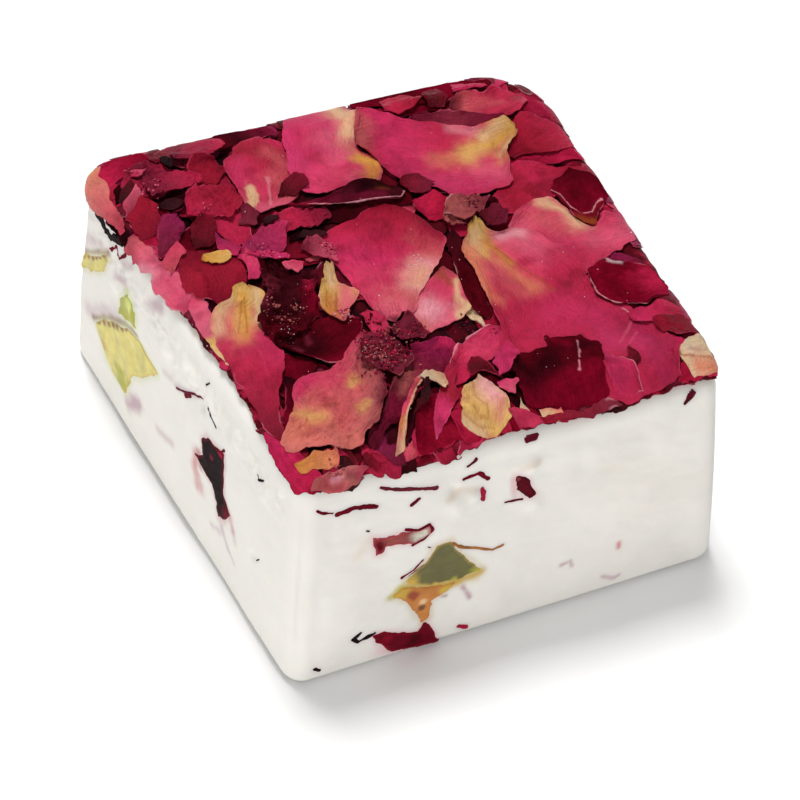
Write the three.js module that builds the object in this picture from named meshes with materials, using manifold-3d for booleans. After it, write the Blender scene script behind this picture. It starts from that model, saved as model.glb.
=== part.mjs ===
// A hand-cut square of soft white nougat under a pressed layer of dried rose petals, with chopped
// pistachio and petal flakes showing in its cut sides. Millimetres, +Z up, origin at the centre of the
// base, front face towards -Y.
//
// Everything is first drawn on an ideal square block and then bent by handCut() to the block's real,
// slightly crooked corners. The petals are drawn on a flat layout (u, v) of the top face. rollOver()
// folds what lies beyond the rim down over the sides, and settle() lays each petal on those below it.

import * as THREE from 'three';
import { mergeVertices } from 'three/addons/utils/BufferGeometryUtils.js';
import Module from 'manifold-3d';

// ---------------------------------------------------------------- driving dimensions

const HALF_SIDE = 18;
const BLOCK_HEIGHT = 18.6;
const RIM_RADIUS = 1.4;
const BASE_RADIUS = 0.9;
const FACE_BULGE = 0.15;

const GAP = 0.3;
const BED_REACH = 18.0;
const BED_THICKNESS = 0.55;
const BED_RIM_THICKNESS = 0.3;
const BED_UNEVENNESS = 0.2;
const BED_EDGE_UNEVENNESS = 0.25;
const BED_CORNER_CUT = 0.045;
const PETAL_THICKNESS = 0.35;
const PETAL_GAP = 0.22;
const PETAL_END_ROUNDING = 0.5;
const PETAL_END_SLACK = 0.4;
const PETAL_FACET_LENGTH = 1.6;
const RIM_CLEARANCE = 0.35;
const INCLUSION_DEPTH = 2.2;
const PLUG_OVERSHOOT = 3;
const LEAST_CORNER_RADIUS = 0.05;

// Each corner of the square: its side, its upright rounding, and how far its foot and its top stand
// from the corner of the ideal square.
const CORNERS = [
  { side: [-1, -1], radius: 1.5, foot: [0.0, -1.4], top: [0.1, 0.6] },
  { side: [1, -1], radius: 2.0, foot: [0.3, -0.7], top: [-2.5, 0.0] },
  { side: [1, 1], radius: 5.0, foot: [0.0, 0.9], top: [0.2, 0.5] },
  { side: [-1, 1], radius: 3.0, foot: [-0.4, 3.0], top: [-0.8, 1.1] },
];

const LOOKS = {
  nougat: { color: 0xeae3da, roughness: 0.6 },
  petal_bed: { color: 0x7a1c32, roughness: 0.8 },
  petal_magenta: { color: 0xb52a54, roughness: 0.65 },
  petal_crimson: { color: 0xa01c3a, roughness: 0.65 },
  petal_salmon: { color: 0xcf6a62, roughness: 0.65 },
  petal_maroon: { color: 0x4a1019, roughness: 0.75 },
  petal_cream: { color: 0xd6a574, roughness: 0.7 },
  pistachio: { color: 0xb9a65a, roughness: 0.7 },
  nut_skin: { color: 0xb67c49, roughness: 0.7 },
  flake: { color: 0x5a1620, roughness: 0.75 },
};

// ---------------------------------------------------------------- the petals, lowest first

// A petal runs from the middle of its base to the middle of its tip, both on the layout. left and
// right are its half widths at five even stations between them, seen looking from base to tip. ends
// are its half widths at the base and at the tip. cup lifts its edges above its middle, or drops them
// below it when negative. lift raises the whole petal off what is under it.
const PETALS = [
  { name: 'petal_corner_salmon', look: 'petal_salmon', base: [-17.2, 17.6], tip: [-17.7, 10.4],
    left: [0.5, 0.6, 0.4, 0.3, 0.4], right: [1.5, 1.5, 1.1, 0.7, 0.4], ends: [0.9, 0.2] },
  { name: 'petal_left_wall_pink', look: 'petal_salmon', base: [-17.7, 10.0], tip: [-17.5, 0.6],
    left: [0.6, 0.8, 0.9, 0.9, 0.9], right: [0.6, 1.0, 1.0, 0.9, 0.6], ends: [0.3, 0.5] },
  { name: 'petal_left_wall_claw', look: 'petal_cream', base: [-17.4, -5.6], tip: [-17.3, 1.6],
    left: [0.3, 0.4, 0.5, 0.6, 0.6], right: [0.3, 0.5, 0.6, 0.6, 0.5], ends: [0.2, 0.4] },
  { name: 'petal_back_dark', look: 'petal_maroon', base: [3.4, 16.9], tip: [14.8, 16.4],
    left: [0.8, 1.0, 1.0, 0.8, 0.6], right: [0.8, 1.2, 1.2, 1.2, 0.9], ends: [0.6, 0.5] },
  { name: 'petal_back_maroon', look: 'petal_maroon', base: [-8.2, 16.6], tip: [-3.2, 16.6],
    left: [0.8, 1.0, 1.0, 0.8, 0.6], right: [0.6, 0.8, 0.9, 0.9, 0.6], ends: [0.5, 0.5] },
  { name: 'petal_back_rose', look: 'petal_crimson', base: [-13.4, 16.0], tip: [-7.2, 16.6],
    left: [0.8, 1.0, 1.1, 1.0, 0.7], right: [0.8, 1.3, 1.4, 1.2, 0.7], ends: [0.5, 0.5] },
  { name: 'petal_left_deep', look: 'petal_maroon', base: [-16.0, 5.9], tip: [-11.1, 8.7],
    left: [0.9, 1.3, 1.4, 1.3, 1.0], right: [0.7, 1.1, 1.5, 1.6, 1.3], ends: [0.5, 0.7] },
  { name: 'petal_back_left_red', look: 'petal_crimson', base: [-10.7, 5.5], tip: [-10.0, 15.6],
    left: [1.3, 1.7, 2.0, 1.9, 1.5], right: [1.3, 1.7, 1.7, 1.6, 1.5], ends: [0.7, 0.9] },
  { name: 'petal_left_plum', look: 'petal_crimson', base: [-16.4, 13.4], tip: [-11.4, 14.1],
    left: [1.6, 2.1, 2.2, 1.8, 1.2], right: [1.2, 1.3, 1.4, 1.6, 1.4], ends: [0.8, 0.8] },
  { name: 'petal_left_crimson', look: 'petal_crimson', base: [-14.7, -0.3], tip: [-14.2, 6.2],
    left: [1.9, 2.1, 2.2, 2.1, 1.8], right: [1.3, 2.2, 2.3, 2.2, 1.7], ends: [1.3, 0.9] },
  { name: 'petal_left_dark', look: 'petal_maroon', base: [-15.7, 12.1], tip: [-16.0, 6.2],
    left: [1.1, 1.6, 1.7, 1.2, 0.7], right: [1.4, 1.4, 1.3, 1.1, 0.8], ends: [0.9, 0.4] },
  { name: 'petal_right_dark', look: 'petal_maroon', base: [15.6, 4.1], tip: [15.6, -0.4],
    left: [1.8, 1.8, 1.7, 1.4, 0.9], right: [1.5, 1.4, 1.3, 1.2, 0.9], ends: [1.1, 0.4] },
  { name: 'petal_back_right_red', look: 'petal_crimson', base: [12.4, 8.4], tip: [17.5, 10.2],
    left: [0.9, 1.6, 2.2, 2.3, 1.6], right: [0.8, 1.4, 1.9, 2.3, 2.0], ends: [0.5, 1.2] },
  { name: 'petal_back_right_coral', look: 'petal_salmon', base: [10.2, 14.4], tip: [16.3, 13.5],
    left: [1.3, 1.4, 1.3, 2.1, 1.6], right: [1.0, 1.4, 1.8, 1.9, 1.6], ends: [0.8, 0.8] },
  { name: 'petal_back_plum', look: 'petal_maroon', base: [6.7, 14.4], tip: [13.6, 11.8],
    left: [0.7, 1.1, 1.3, 1.1, 0.7], right: [0.6, 0.8, 0.9, 0.8, 0.6], ends: [0.4, 0.4] },
  { name: 'petal_right_edge', look: 'petal_crimson', base: [17.4, -11.2], tip: [13.3, -10.8],
    left: [1.0, 1.1, 1.1, 1.0, 0.7], right: [1.1, 1.1, 1.0, 0.9, 0.7], ends: [0.9, 0.4] },
  { name: 'petal_right_maroon', look: 'petal_maroon', base: [17.4, -7.3], tip: [11.7, -7.4],
    left: [2.6, 2.7, 2.6, 2.4, 1.7], right: [1.8, 2.2, 2.5, 2.2, 1.5], ends: [1.6, 0.9] },
  { name: 'petal_right_mid', look: 'petal_crimson', base: [17.3, 4.8], tip: [8.5, 2.6],
    left: [0.9, 0.9, 1.0, 1.0, 1.0], right: [1.9, 3.1, 3.6, 2.8, 1.8], ends: [0.9, 0.7] },
  { name: 'petal_top_coral', look: 'petal_salmon', base: [-8.1, 8.5], tip: [-5.1, 15.9],
    left: [1.4, 1.6, 2.2, 2.3, 1.6], right: [2.8, 3.0, 3.2, 3.3, 3.0], ends: [1.0, 1.6] },
  { name: 'petal_top_pink', look: 'petal_magenta', base: [1.9, 8.8], tip: [-0.6, 18.0],
    left: [5.0, 5.6, 5.0, 3.8, 2.8], right: [1.1, 0.7, 1.0, 2.2, 3.2], ends: [0.8, 1.6] },
  { name: 'petal_mid_rose', look: 'petal_crimson', base: [-9.1, 6.4], tip: [-3.1, 6.9],
    left: [0.9, 1.3, 1.5, 1.5, 1.2], right: [0.8, 1.1, 1.2, 1.2, 0.9], ends: [0.5, 0.7] },
  { name: 'petal_left_magenta', look: 'petal_magenta', base: [-12.1, 3.5], tip: [-7.0, 6.7],
    left: [0.7, 0.9, 1.0, 0.9, 0.6], right: [0.7, 1.1, 1.5, 1.5, 0.9], ends: [0.3, 0.5] },
  { name: 'petal_second', look: 'petal_magenta', base: [14.0, 10.6], tip: [2.0, 10.2],
    left: [2.3, 5.6, 5.8, 5.9, 2.8], right: [1.2, 2.0, 3.0, 4.5, 4.6], ends: [0.9, 1.6], cup: 0.3 },
  { name: 'petal_thin_dark', look: 'petal_maroon', base: [4.6, 2.0], tip: [2.9, -7.3],
    left: [0.6, 0.7, 0.9, 1.1, 1.0], right: [0.7, 0.8, 0.9, 1.2, 1.0], ends: [0.5, 0.5] },
  { name: 'petal_mid_brown', look: 'petal_maroon', base: [4.4, 2.8], tip: [9.1, 3.4],
    left: [0.9, 1.4, 1.5, 1.2, 0.8], right: [0.7, 0.9, 1.4, 1.7, 1.2], ends: [0.5, 0.5] },
  { name: 'petal_centre_tip', look: 'petal_salmon', base: [2.2, -1.9], tip: [-1.9, -7.3],
    left: [1.0, 1.5, 2.4, 1.6, 1.0], right: [1.0, 1.2, 2.0, 2.4, 2.0], ends: [0.5, 0.9] },
  { name: 'petal_front_purple', look: 'petal_maroon', base: [-0.8, -8.8], tip: [-11.5, -16.6],
    left: [1.2, 1.0, 0.8, 0.8, 0.6], right: [1.0, 1.6, 1.4, 1.0, 0.7], ends: [0.7, 0.4] },
  { name: 'petal_front_red', look: 'petal_crimson', base: [3.7, -8.4], tip: [-3.4, -12.9],
    left: [1.3, 1.2, 0.8, 0.6, 0.5], right: [0.8, 1.2, 1.3, 0.8, 0.5], ends: [0.7, 0.4] },
  { name: 'petal_corner_cream', look: 'petal_cream', base: [17.5, -15.2], tip: [15.0, -15.4],
    left: [1.3, 1.3, 1.1, 0.9, 0.5], right: [1.9, 1.6, 1.2, 0.8, 0.5], ends: [1.1, 0.2] },
  { name: 'petal_right_salmon', look: 'petal_salmon', base: [7.5, -1.4], tip: [17.5, -1.7],
    left: [2.6, 3.8, 4.5, 3.8, 1.8], right: [3.2, 3.8, 3.7, 3.2, 2.4], ends: [1.5, 1.8], cup: -0.2 },
  { name: 'petal_fan', look: 'petal_magenta', base: [6.6, 2.6], tip: [11.9, -16.8],
    left: [2.4, 4.0, 2.7, 4.5, 4.6], right: [3.4, 4.9, 6.0, 8.2, 7.8], ends: [0.5, 3.4], cup: 0.25 },
  { name: 'petal_fold_pale', look: 'petal_cream', base: [-3.3, -11.4], tip: [-9.5, -16.9],
    left: [0.7, 0.8, 0.7, 0.5, 0.4], right: [0.7, 0.6, 0.6, 0.6, 0.4], ends: [0.4, 0.3] },
  { name: 'petal_fold_magenta', look: 'petal_magenta', base: [-2.0, -11.5], tip: [-6.0, -16.7],
    left: [0.5, 0.7, 0.9, 1.0, 0.7], right: [0.5, 0.7, 0.9, 0.8, 0.6], ends: [0.3, 0.4] },
  { name: 'petal_flat_dark', look: 'petal_maroon', base: [5.6, -16.7], tip: [6.6, -10.0],
    left: [3.6, 3.6, 3.8, 3.5, 2.0], right: [3.5, 3.5, 3.7, 3.7, 2.7], ends: [3.0, 1.2] },
  { name: 'petal_front_cream', look: 'petal_cream', base: [-0.4, -12.6], tip: [-2.2, -17.3],
    left: [0.9, 1.3, 1.6, 1.9, 1.6], right: [1.0, 1.4, 1.6, 1.9, 1.6], ends: [0.6, 0.8], cup: -0.3 },
  { name: 'petal_left_long', look: 'petal_magenta', base: [-12.7, 1.9], tip: [-17.0, -13.8],
    left: [1.1, 0.9, 1.8, 1.2, 0.8], right: [3.0, 2.6, 2.1, 1.6, 1.1], ends: [0.9, 0.5], cup: 0.2 },
  { name: 'petal_dark_cup', look: 'petal_maroon', base: [-13.4, -6.1], tip: [-6.1, -4.5],
    left: [1.6, 1.8, 1.5, 1.1, 0.9], right: [2.3, 3.1, 3.1, 2.6, 1.6], ends: [1.1, 0.5], cup: 0.5 },
  { name: 'petal_dark_rough', look: 'petal_maroon', base: [-9.0, 3.0], tip: [-11.4, -4.3],
    left: [2.7, 2.3, 2.1, 2.1, 2.0], right: [2.0, 1.8, 2.1, 2.7, 2.4], ends: [1.2, 1.5], cup: -0.3 },
  { name: 'petal_front_lip', look: 'petal_salmon', base: [-11.7, -16.9], tip: [-16.9, -16.7],
    left: [0.7, 1.0, 1.2, 1.3, 1.1], right: [0.5, 0.7, 0.8, 1.0, 1.0], ends: [0.4, 0.6] },
  { name: 'petal_front_orange', look: 'petal_salmon', base: [-5.3, -6.9], tip: [-16.9, -14.4],
    left: [1.8, 3.2, 4.2, 4.7, 3.7], right: [1.4, 1.2, 2.2, 2.5, 1.3], ends: [1.0, 1.4], cup: -0.5 },
  { name: 'petal_centre', look: 'petal_crimson', base: [0.8, 5.6], tip: [-3.3, -5.6],
    left: [4.5, 3.9, 3.7, 2.7, 1.4], right: [4.8, 5.3, 4.6, 3.3, 2.9], ends: [3.6, 1.5], cup: -0.6 },
  { name: 'petal_cream_claw', look: 'petal_cream', base: [-5.8, 1.8], tip: [-7.8, -4.7],
    left: [0.5, 0.9, 1.8, 1.6, 0.9], right: [0.6, 1.0, 1.2, 1.4, 1.3], ends: [0.35, 0.7], cup: 0.2 },
  { name: 'petal_boat', look: 'petal_maroon', base: [-5.6, 8.4], tip: [3.0, 6.7],
    left: [0.6, 0.9, 1.1, 1.3, 1.2], right: [0.5, 0.7, 0.7, 0.8, 0.8], ends: [0.3, 0.7], cup: 0.3,
    lift: 0.2 },
];

// ---------------------------------------------------------------- pieces set in the cut sides

// An inclusion shows on one side: along is measured level with the base, to the right as that side is
// seen, from its middle, and up is measured from the base. Its outline runs counter-clockwise.
const INCLUSIONS = [
  { name: 'pistachio_front', look: 'pistachio', side: 'front',
    outline: [[-8.4, 7.0], [-6.8, 6.2], [-4.6, 6.0], [-2.5, 6.4], [-4.2, 8.3], [-5.5, 10.2], [-6.4, 10.1],
      [-7.4, 8.8], [-9.0, 7.6]] },
  { name: 'nut_skin_front', look: 'nut_skin', side: 'front',
    outline: [[-7.5, 2.7], [-6.8, 3.0], [-6.8, 4.7], [-5.2, 5.4], [-7.0, 5.7], [-8.7, 6.5], [-9.8, 6.5],
      [-8.8, 5.4], [-8.1, 4.2]] },
  { name: 'flake_front_base', look: 'flake', side: 'front',
    outline: [[-9.9, 1.0], [-6.4, 1.0], [-6.9, 2.2], [-7.7, 1.9], [-9.0, 2.5], [-10.4, 3.1], [-11.5, 3.1],
      [-10.9, 1.9]] },
  { name: 'flake_front_fold', look: 'flake', side: 'front',
    outline: [[-11.3, 11.0], [-8.4, 11.0], [-7.1, 11.7], [-7.3, 12.4], [-11.9, 12.5]] },
  { name: 'flake_front_spot', look: 'flake', side: 'front',
    outline: [[0.1, 13.2], [1.2, 12.2], [1.7, 12.4], [1.1, 14.0], [0.2, 14.7], [-0.2, 14.6]] },
  { name: 'pistachio_left', look: 'pistachio', side: 'left',
    outline: [[-12.8, 6.6], [-11.6, 4.5], [-9.8, 3.8], [-7.9, 4.0], [-6.8, 6.8], [-5.3, 8.2], [-3.2, 10.6],
      [-6.6, 11.1], [-9.0, 10.0], [-11.2, 8.4]] },
  { name: 'pistachio_left_upper', look: 'pistachio', side: 'left',
    outline: [[-9.7, 10.6], [-8.6, 11.0], [-6.7, 12.0], [-7.2, 13.4], [-9.0, 13.6], [-9.7, 12.0]] },
  { name: 'pistachio_left_back', look: 'pistachio', side: 'left',
    outline: [[-16.2, 10.9], [-14.4, 11.4], [-12.6, 12.9], [-11.9, 14.8], [-12.6, 14.7], [-14.4, 13.2],
      [-15.9, 12.0]] },
  { name: 'flake_left_shard', look: 'flake', side: 'left',
    outline: [[3.1, 8.3], [4.5, 8.4], [5.9, 7.9], [6.6, 6.7], [6.9, 5.7], [7.6, 6.1], [8.8, 7.8], [7.4, 8.7],
      [7.2, 11.5], [5.1, 11.8], [3.9, 11.0], [4.1, 9.4]] },
  { name: 'pistachio_right', look: 'pistachio', side: 'right',
    outline: [[-6.4, 7.2], [-3.6, 6.0], [-0.6, 7.4], [-1.6, 9.6], [-5.2, 9.8]] },
  { name: 'flake_right', look: 'flake', side: 'right',
    outline: [[6.2, 11.6], [9.6, 11.2], [10.2, 12.4], [7.0, 12.9]] },
  { name: 'pistachio_back', look: 'pistachio', side: 'back',
    outline: [[2.0, 9.2], [5.6, 8.4], [8.0, 10.2], [6.0, 12.4], [2.8, 11.8]] },
  { name: 'flake_back', look: 'flake', side: 'back',
    outline: [[-9.8, 5.4], [-6.2, 4.6], [-5.6, 6.0], [-8.8, 6.9]] },
];

// A turn about the upright axis that brings the front face to each side.
const SIDE_TURNS = { front: 0, right: Math.PI / 2, back: Math.PI, left: -Math.PI / 2 };

// ---------------------------------------------------------------- shape of the block

function mix(a, b, k) {
  return a + (b - a) * k;
}

function cornerAt(x, y) {
  return CORNERS.find(({ side }) => side[0] === (x > 0 ? 1 : -1) && side[1] === (y > 0 ? 1 : -1));
}

// Moves a point of the ideal block to where the crooked cut puts it.
function handCut(point) {
  const rise = THREE.MathUtils.clamp(point.z / BLOCK_HEIGHT, 0, 1.15);
  const across = THREE.MathUtils.clamp(point.x / HALF_SIDE, -1.3, 1.3);
  const along = THREE.MathUtils.clamp(point.y / HALF_SIDE, -1.3, 1.3);
  const moved = point.clone();
  for (const { side, foot, top } of CORNERS) {
    const weight = (1 + side[0] * across) * (1 + side[1] * along) / 4;
    moved.x += weight * mix(foot[0], top[0], rise);
    moved.y += weight * mix(foot[1], top[1], rise);
  }
  return moved;
}

// The rim's middle line is the square drawn in by the rim's radius. Returns how far a layout point lies
// outside that line, the direction outwards, and the foot of the point on the line.
function rimPlace(u, v) {
  const inset = HALF_SIDE - RIM_RADIUS;
  const corner = cornerAt(u, v);
  const round = corner.radius - RIM_RADIUS;
  const overU = Math.abs(u) - (inset - round);
  const overV = Math.abs(v) - (inset - round);
  let out = overU > overV ? [Math.sign(u), 0] : [0, Math.sign(v)];
  let distance = Math.max(overU, overV) - round;
  if (overU > 0 && overV > 0) {
    const reach = Math.hypot(overU, overV);
    out = [corner.side[0] * overU / reach, corner.side[1] * overV / reach];
    distance = reach - round;
  }
  const beyond = Math.max(distance, 0);
  return { distance, beyond, out, foot: [u - out[0] * beyond, v - out[1] * beyond] };
}

// A layout point at a height over the nougat's skin, folded over the rim and down the side.
function rollOver(u, v, height) {
  const { beyond, out, foot } = rimPlace(u, v);
  const angle = Math.min(beyond / RIM_RADIUS, Math.PI / 2);
  const down = Math.max(beyond - RIM_RADIUS * Math.PI / 2, 0);
  const reach = (RIM_RADIUS + height) * Math.sin(angle);
  const z = BLOCK_HEIGHT - RIM_RADIUS + (RIM_RADIUS + height) * Math.cos(angle) - down;
  return handCut(new THREE.Vector3(foot[0] + out[0] * reach, foot[1] + out[1] * reach, z));
}

// The square with rounded corners, drawn in by inset, counter-clockwise.
function squareOutline(inset, arcSteps, sideSteps) {
  const points = [];
  for (const [index, { side, radius }] of CORNERS.entries()) {
    const round = Math.max(radius - inset, LEAST_CORNER_RADIUS);
    const centre = side.map((sign) => sign * (HALF_SIDE - inset - round));
    const start = Math.PI + index * Math.PI / 2;
    for (let step = 0; step <= arcSteps; step += 1) {
      const angle = start + step / arcSteps * Math.PI / 2;
      points.push([centre[0] + round * Math.cos(angle), centre[1] + round * Math.sin(angle)]);
    }
    const next = CORNERS[(index + 1) % CORNERS.length];
    const nextRound = Math.max(next.radius - inset, LEAST_CORNER_RADIUS);
    const nextCentre = next.side.map((sign) => sign * (HALF_SIDE - inset - nextRound));
    const from = points.at(-1);
    const turn = start + Math.PI / 2;
    const to = [nextCentre[0] + nextRound * Math.cos(turn), nextCentre[1] + nextRound * Math.sin(turn)];
    for (let step = 1; step < sideSteps; step += 1) {
      points.push([mix(from[0], to[0], step / sideSteps), mix(from[1], to[1], step / sideSteps)]);
    }
  }
  return points;
}

// ---------------------------------------------------------------- meshes from rings and grids

function geometryOf(points, triangles) {
  const geometry = new THREE.BufferGeometry();
  geometry.setAttribute('position', new THREE.Float32BufferAttribute(points.flatMap((p) => p.toArray()), 3));
  geometry.setIndex(triangles.flat());
  return geometry;
}

// Rings of equal length stacked upwards, closed by a point in the middle of the first and the last.
function loft(rings) {
  const count = rings[0].length;
  const points = rings.flat();
  const triangles = [];
  for (let level = 0; level < rings.length - 1; level += 1) {
    for (let i = 0; i < count; i += 1) {
      const a = level * count + i;
      const b = level * count + (i + 1) % count;
      triangles.push([a, b, b + count], [a, b + count, a + count]);
    }
  }
  const middle = (ring) => ring.reduce((sum, p) => sum.add(p), new THREE.Vector3()).divideScalar(count);
  const last = (rings.length - 1) * count;
  points.push(middle(rings[0]), middle(rings.at(-1)));
  for (let i = 0; i < count; i += 1) {
    const j = (i + 1) % count;
    triangles.push([points.length - 2, j, i], [points.length - 1, last + i, last + j]);
  }
  return geometryOf(points, triangles);
}

// A closed slab from a grid of cells: underside and topside give a point for each grid corner.
function slab(columns, rows, underside, topside) {
  const width = rows + 1;
  const layer = (columns + 1) * width;
  const points = [];
  for (const face of [underside, topside]) {
    for (let i = 0; i <= columns; i += 1) {
      for (let j = 0; j <= rows; j += 1) {
        points.push(face(i, j));
      }
    }
  }
  const triangles = [];
  for (let i = 0; i < columns; i += 1) {
    for (let j = 0; j < rows; j += 1) {
      const [a, b, c, d] = [i * width + j, (i + 1) * width + j, (i + 1) * width + j + 1, i * width + j + 1];
      triangles.push([a, c, b], [a, d, c]);
      triangles.push([a + layer, b + layer, c + layer], [a + layer, c + layer, d + layer]);
    }
  }
  for (const [a, b] of slabEdge(columns, rows)) {
    triangles.push([a, b, b + layer], [a, b + layer, a + layer]);
  }
  return geometryOf(points, triangles);
}

// The grid's outer edges in order, counter-clockwise seen from above.
function slabEdge(columns, rows) {
  const width = rows + 1;
  const loop = [];
  for (let i = 0; i < columns; i += 1) loop.push(i * width);
  for (let j = 0; j < rows; j += 1) loop.push(columns * width + j);
  for (let i = columns; i > 0; i -= 1) loop.push(i * width + rows);
  for (let j = rows; j > 0; j -= 1) loop.push(j);
  return loop.map((a, i) => [a, loop[(i + 1) % loop.length]]);
}

// ---------------------------------------------------------------- nougat block and inclusions

const wasm = await Module();
wasm.setup();

function toManifold(geometry) {
  const bare = geometry.clone();
  bare.deleteAttribute('normal');
  bare.deleteAttribute('uv');
  const merged = mergeVertices(bare);
  return new wasm.Manifold(new wasm.Mesh({
    numProp: 3,
    vertProperties: new Float32Array(merged.attributes.position.array),
    triVerts: new Uint32Array(merged.index.array),
  }));
}

function fromManifold(solid) {
  const { vertProperties, triVerts } = solid.getMesh();
  const geometry = new THREE.BufferGeometry();
  geometry.setAttribute('position', new THREE.Float32BufferAttribute(vertProperties, 3));
  geometry.setIndex([...triVerts]);
  return geometry;
}

function wholeBlock() {
  const arcSteps = 4;
  const sideSteps = 6;
  const levels = [];
  for (const part of [0, 1 / 3, 2 / 3]) {
    const angle = part * Math.PI / 2;
    levels.push({ z: BASE_RADIUS * (1 - Math.cos(angle)), inset: BASE_RADIUS * (1 - Math.sin(angle)) });
  }
  for (const part of [0.05, 0.25, 0.5, 0.75]) {
    levels.push({ z: part * BLOCK_HEIGHT, inset: -FACE_BULGE * Math.sin(part * Math.PI) });
  }
  for (const part of [0, 1 / 3, 2 / 3, 1]) {
    const angle = part * Math.PI / 2;
    const z = BLOCK_HEIGHT - RIM_RADIUS * (1 - Math.sin(angle));
    levels.push({ z, inset: RIM_RADIUS * (1 - Math.cos(angle)) });
  }
  return loft(levels.map(({ z, inset }) => squareOutline(inset, arcSteps, sideSteps)
    .map(([x, y]) => handCut(new THREE.Vector3(x, y, z)))));
}

// An outline, counter-clockwise, with every edge moved outwards by grow.
function grown(outline, grow) {
  return outline.map((point, i) => {
    const before = outline.at(i - 1);
    const after = outline[(i + 1) % outline.length];
    const normals = [[before, point], [point, after]].map(([from, to]) => {
      const length = Math.hypot(to[0] - from[0], to[1] - from[1]);
      return [(to[1] - from[1]) / length, (from[0] - to[0]) / length];
    });
    const miter = 1 + normals[0][0] * normals[1][0] + normals[0][1] * normals[1][1];
    return point.map((value, axis) => value + grow * (normals[0][axis] + normals[1][axis]) / miter);
  });
}

// A straight plug with the inclusion's outline, grown sideways by grow, from outside the side face to
// a depth inside it.
function plug({ outline, side }, grow, depth) {
  const ring = (y) => grown(outline, grow).map(([along, up]) => new THREE.Vector3(along, y, up));
  const outside = -HALF_SIDE - PLUG_OVERSHOOT;
  const inside = -HALF_SIDE + depth;
  const upright = new THREE.Vector3(0, 0, 1);
  return loft([ring(inside), ring(outside)].map((points) => points
    .map((p) => handCut(p.applyAxisAngle(upright, SIDE_TURNS[side])))));
}

function nougatPieces() {
  const whole = toManifold(wholeBlock());
  let block = whole;
  const pieces = [];
  for (const inclusion of INCLUSIONS) {
    const piece = toManifold(plug(inclusion, 0, INCLUSION_DEPTH)).intersect(whole);
    const pocket = toManifold(plug(inclusion, GAP, INCLUSION_DEPTH + GAP));
    block = block.subtract(pocket);
    pieces.push({ ...inclusion, geometry: fromManifold(piece) });
  }
  return [{ name: 'nougat_block', look: 'nougat', geometry: fromManifold(block) }, ...pieces];
}

// ---------------------------------------------------------------- petal bed

// Even, repeatable unevenness between -1 and 1 over the layout.
function ripple(u, v, pitch) {
  const k = 2 * Math.PI / pitch;
  return (Math.sin(k * u + 1.3) * Math.cos(k * v * 0.8 - 0.6) + Math.sin(k * (u + v) * 0.6 + 2.1)) / 2;
}

// The bed's grid lines as shares of its reach, closer together where it bends over the rim.
const BED_STATIONS = [-1, -0.96, -0.92, -0.87, -0.7, -0.45, -0.2, 0.05, 0.3, 0.55, 0.78, 0.87, 0.92, 0.96, 1];
const BED_EDGE_PITCH = 9;
const BED_TOP_PITCH = 7;

function bedLayout(i, j) {
  const a = BED_STATIONS[i];
  const b = BED_STATIONS[j];
  const shrink = 1 - BED_CORNER_CUT * a * a * b * b;
  const reach = BED_REACH + BED_EDGE_UNEVENNESS * ripple(a * BED_REACH, b * BED_REACH, BED_EDGE_PITCH);
  return [a * reach * shrink, b * reach * shrink];
}

function bedTop(u, v) {
  const { distance } = rimPlace(u, v);
  const onTop = THREE.MathUtils.smoothstep(-distance, -1.2, 1.5);
  return GAP + mix(BED_RIM_THICKNESS, BED_THICKNESS + BED_UNEVENNESS * ripple(u, v, BED_TOP_PITCH), onTop);
}

function petalBed() {
  const cells = BED_STATIONS.length - 1;
  return slab(cells, cells, (i, j) => rollOver(...bedLayout(i, j), GAP), (i, j) => {
    const [u, v] = bedLayout(i, j);
    return rollOver(u, v, bedTop(u, v));
  });
}

// ---------------------------------------------------------------- laying the petals

// The height of the pile so far, over the layout, on a square raster.
const CELL = 0.25;
const LOW_CORNER = -25;
const RASTER = 180;
const CELL_MARGIN = 0.15;
const SETTLE_ROUNDS = 80;
const LEAST_SHARE = 0.02;
const pile = new Float32Array(RASTER * RASTER);

function rasterPlace(index) {
  return LOW_CORNER + index * CELL;
}

function layBed() {
  for (let i = 0; i < RASTER; i += 1) {
    for (let j = 0; j < RASTER; j += 1) {
      const [u, v] = [rasterPlace(i), rasterPlace(j)];
      const covered = Math.max(Math.abs(u), Math.abs(v)) < BED_REACH + BED_EDGE_UNEVENNESS;
      pile[i * RASTER + j] = covered ? bedTop(u, v) : 0;
    }
  }
}

// Calls visit with each raster cell in or just beside a triangle, and its three weights.
function eachCell(corners, visit) {
  const us = corners.map((p) => p.u);
  const vs = corners.map((p) => p.v);
  const span = (values) => [
    Math.max(0, Math.floor((Math.min(...values) - LOW_CORNER) / CELL)),
    Math.min(RASTER - 1, Math.ceil((Math.max(...values) - LOW_CORNER) / CELL)),
  ];
  const area = (us[1] - us[0]) * (vs[2] - vs[0]) - (us[2] - us[0]) * (vs[1] - vs[0]);
  const [firstU, lastU] = span(us);
  const [firstV, lastV] = span(vs);
  for (let i = firstU; i <= lastU; i += 1) {
    for (let j = firstV; j <= lastV; j += 1) {
      const [u, v] = [rasterPlace(i), rasterPlace(j)];
      const second = ((u - us[0]) * (vs[2] - vs[0]) - (us[2] - us[0]) * (v - vs[0])) / area;
      const third = ((us[1] - us[0]) * (v - vs[0]) - (u - us[0]) * (vs[1] - vs[0])) / area;
      const weights = [1 - second - third, second, third];
      if (Math.min(...weights) > -CELL_MARGIN) visit(i * RASTER + j, weights);
    }
  }
}

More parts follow.
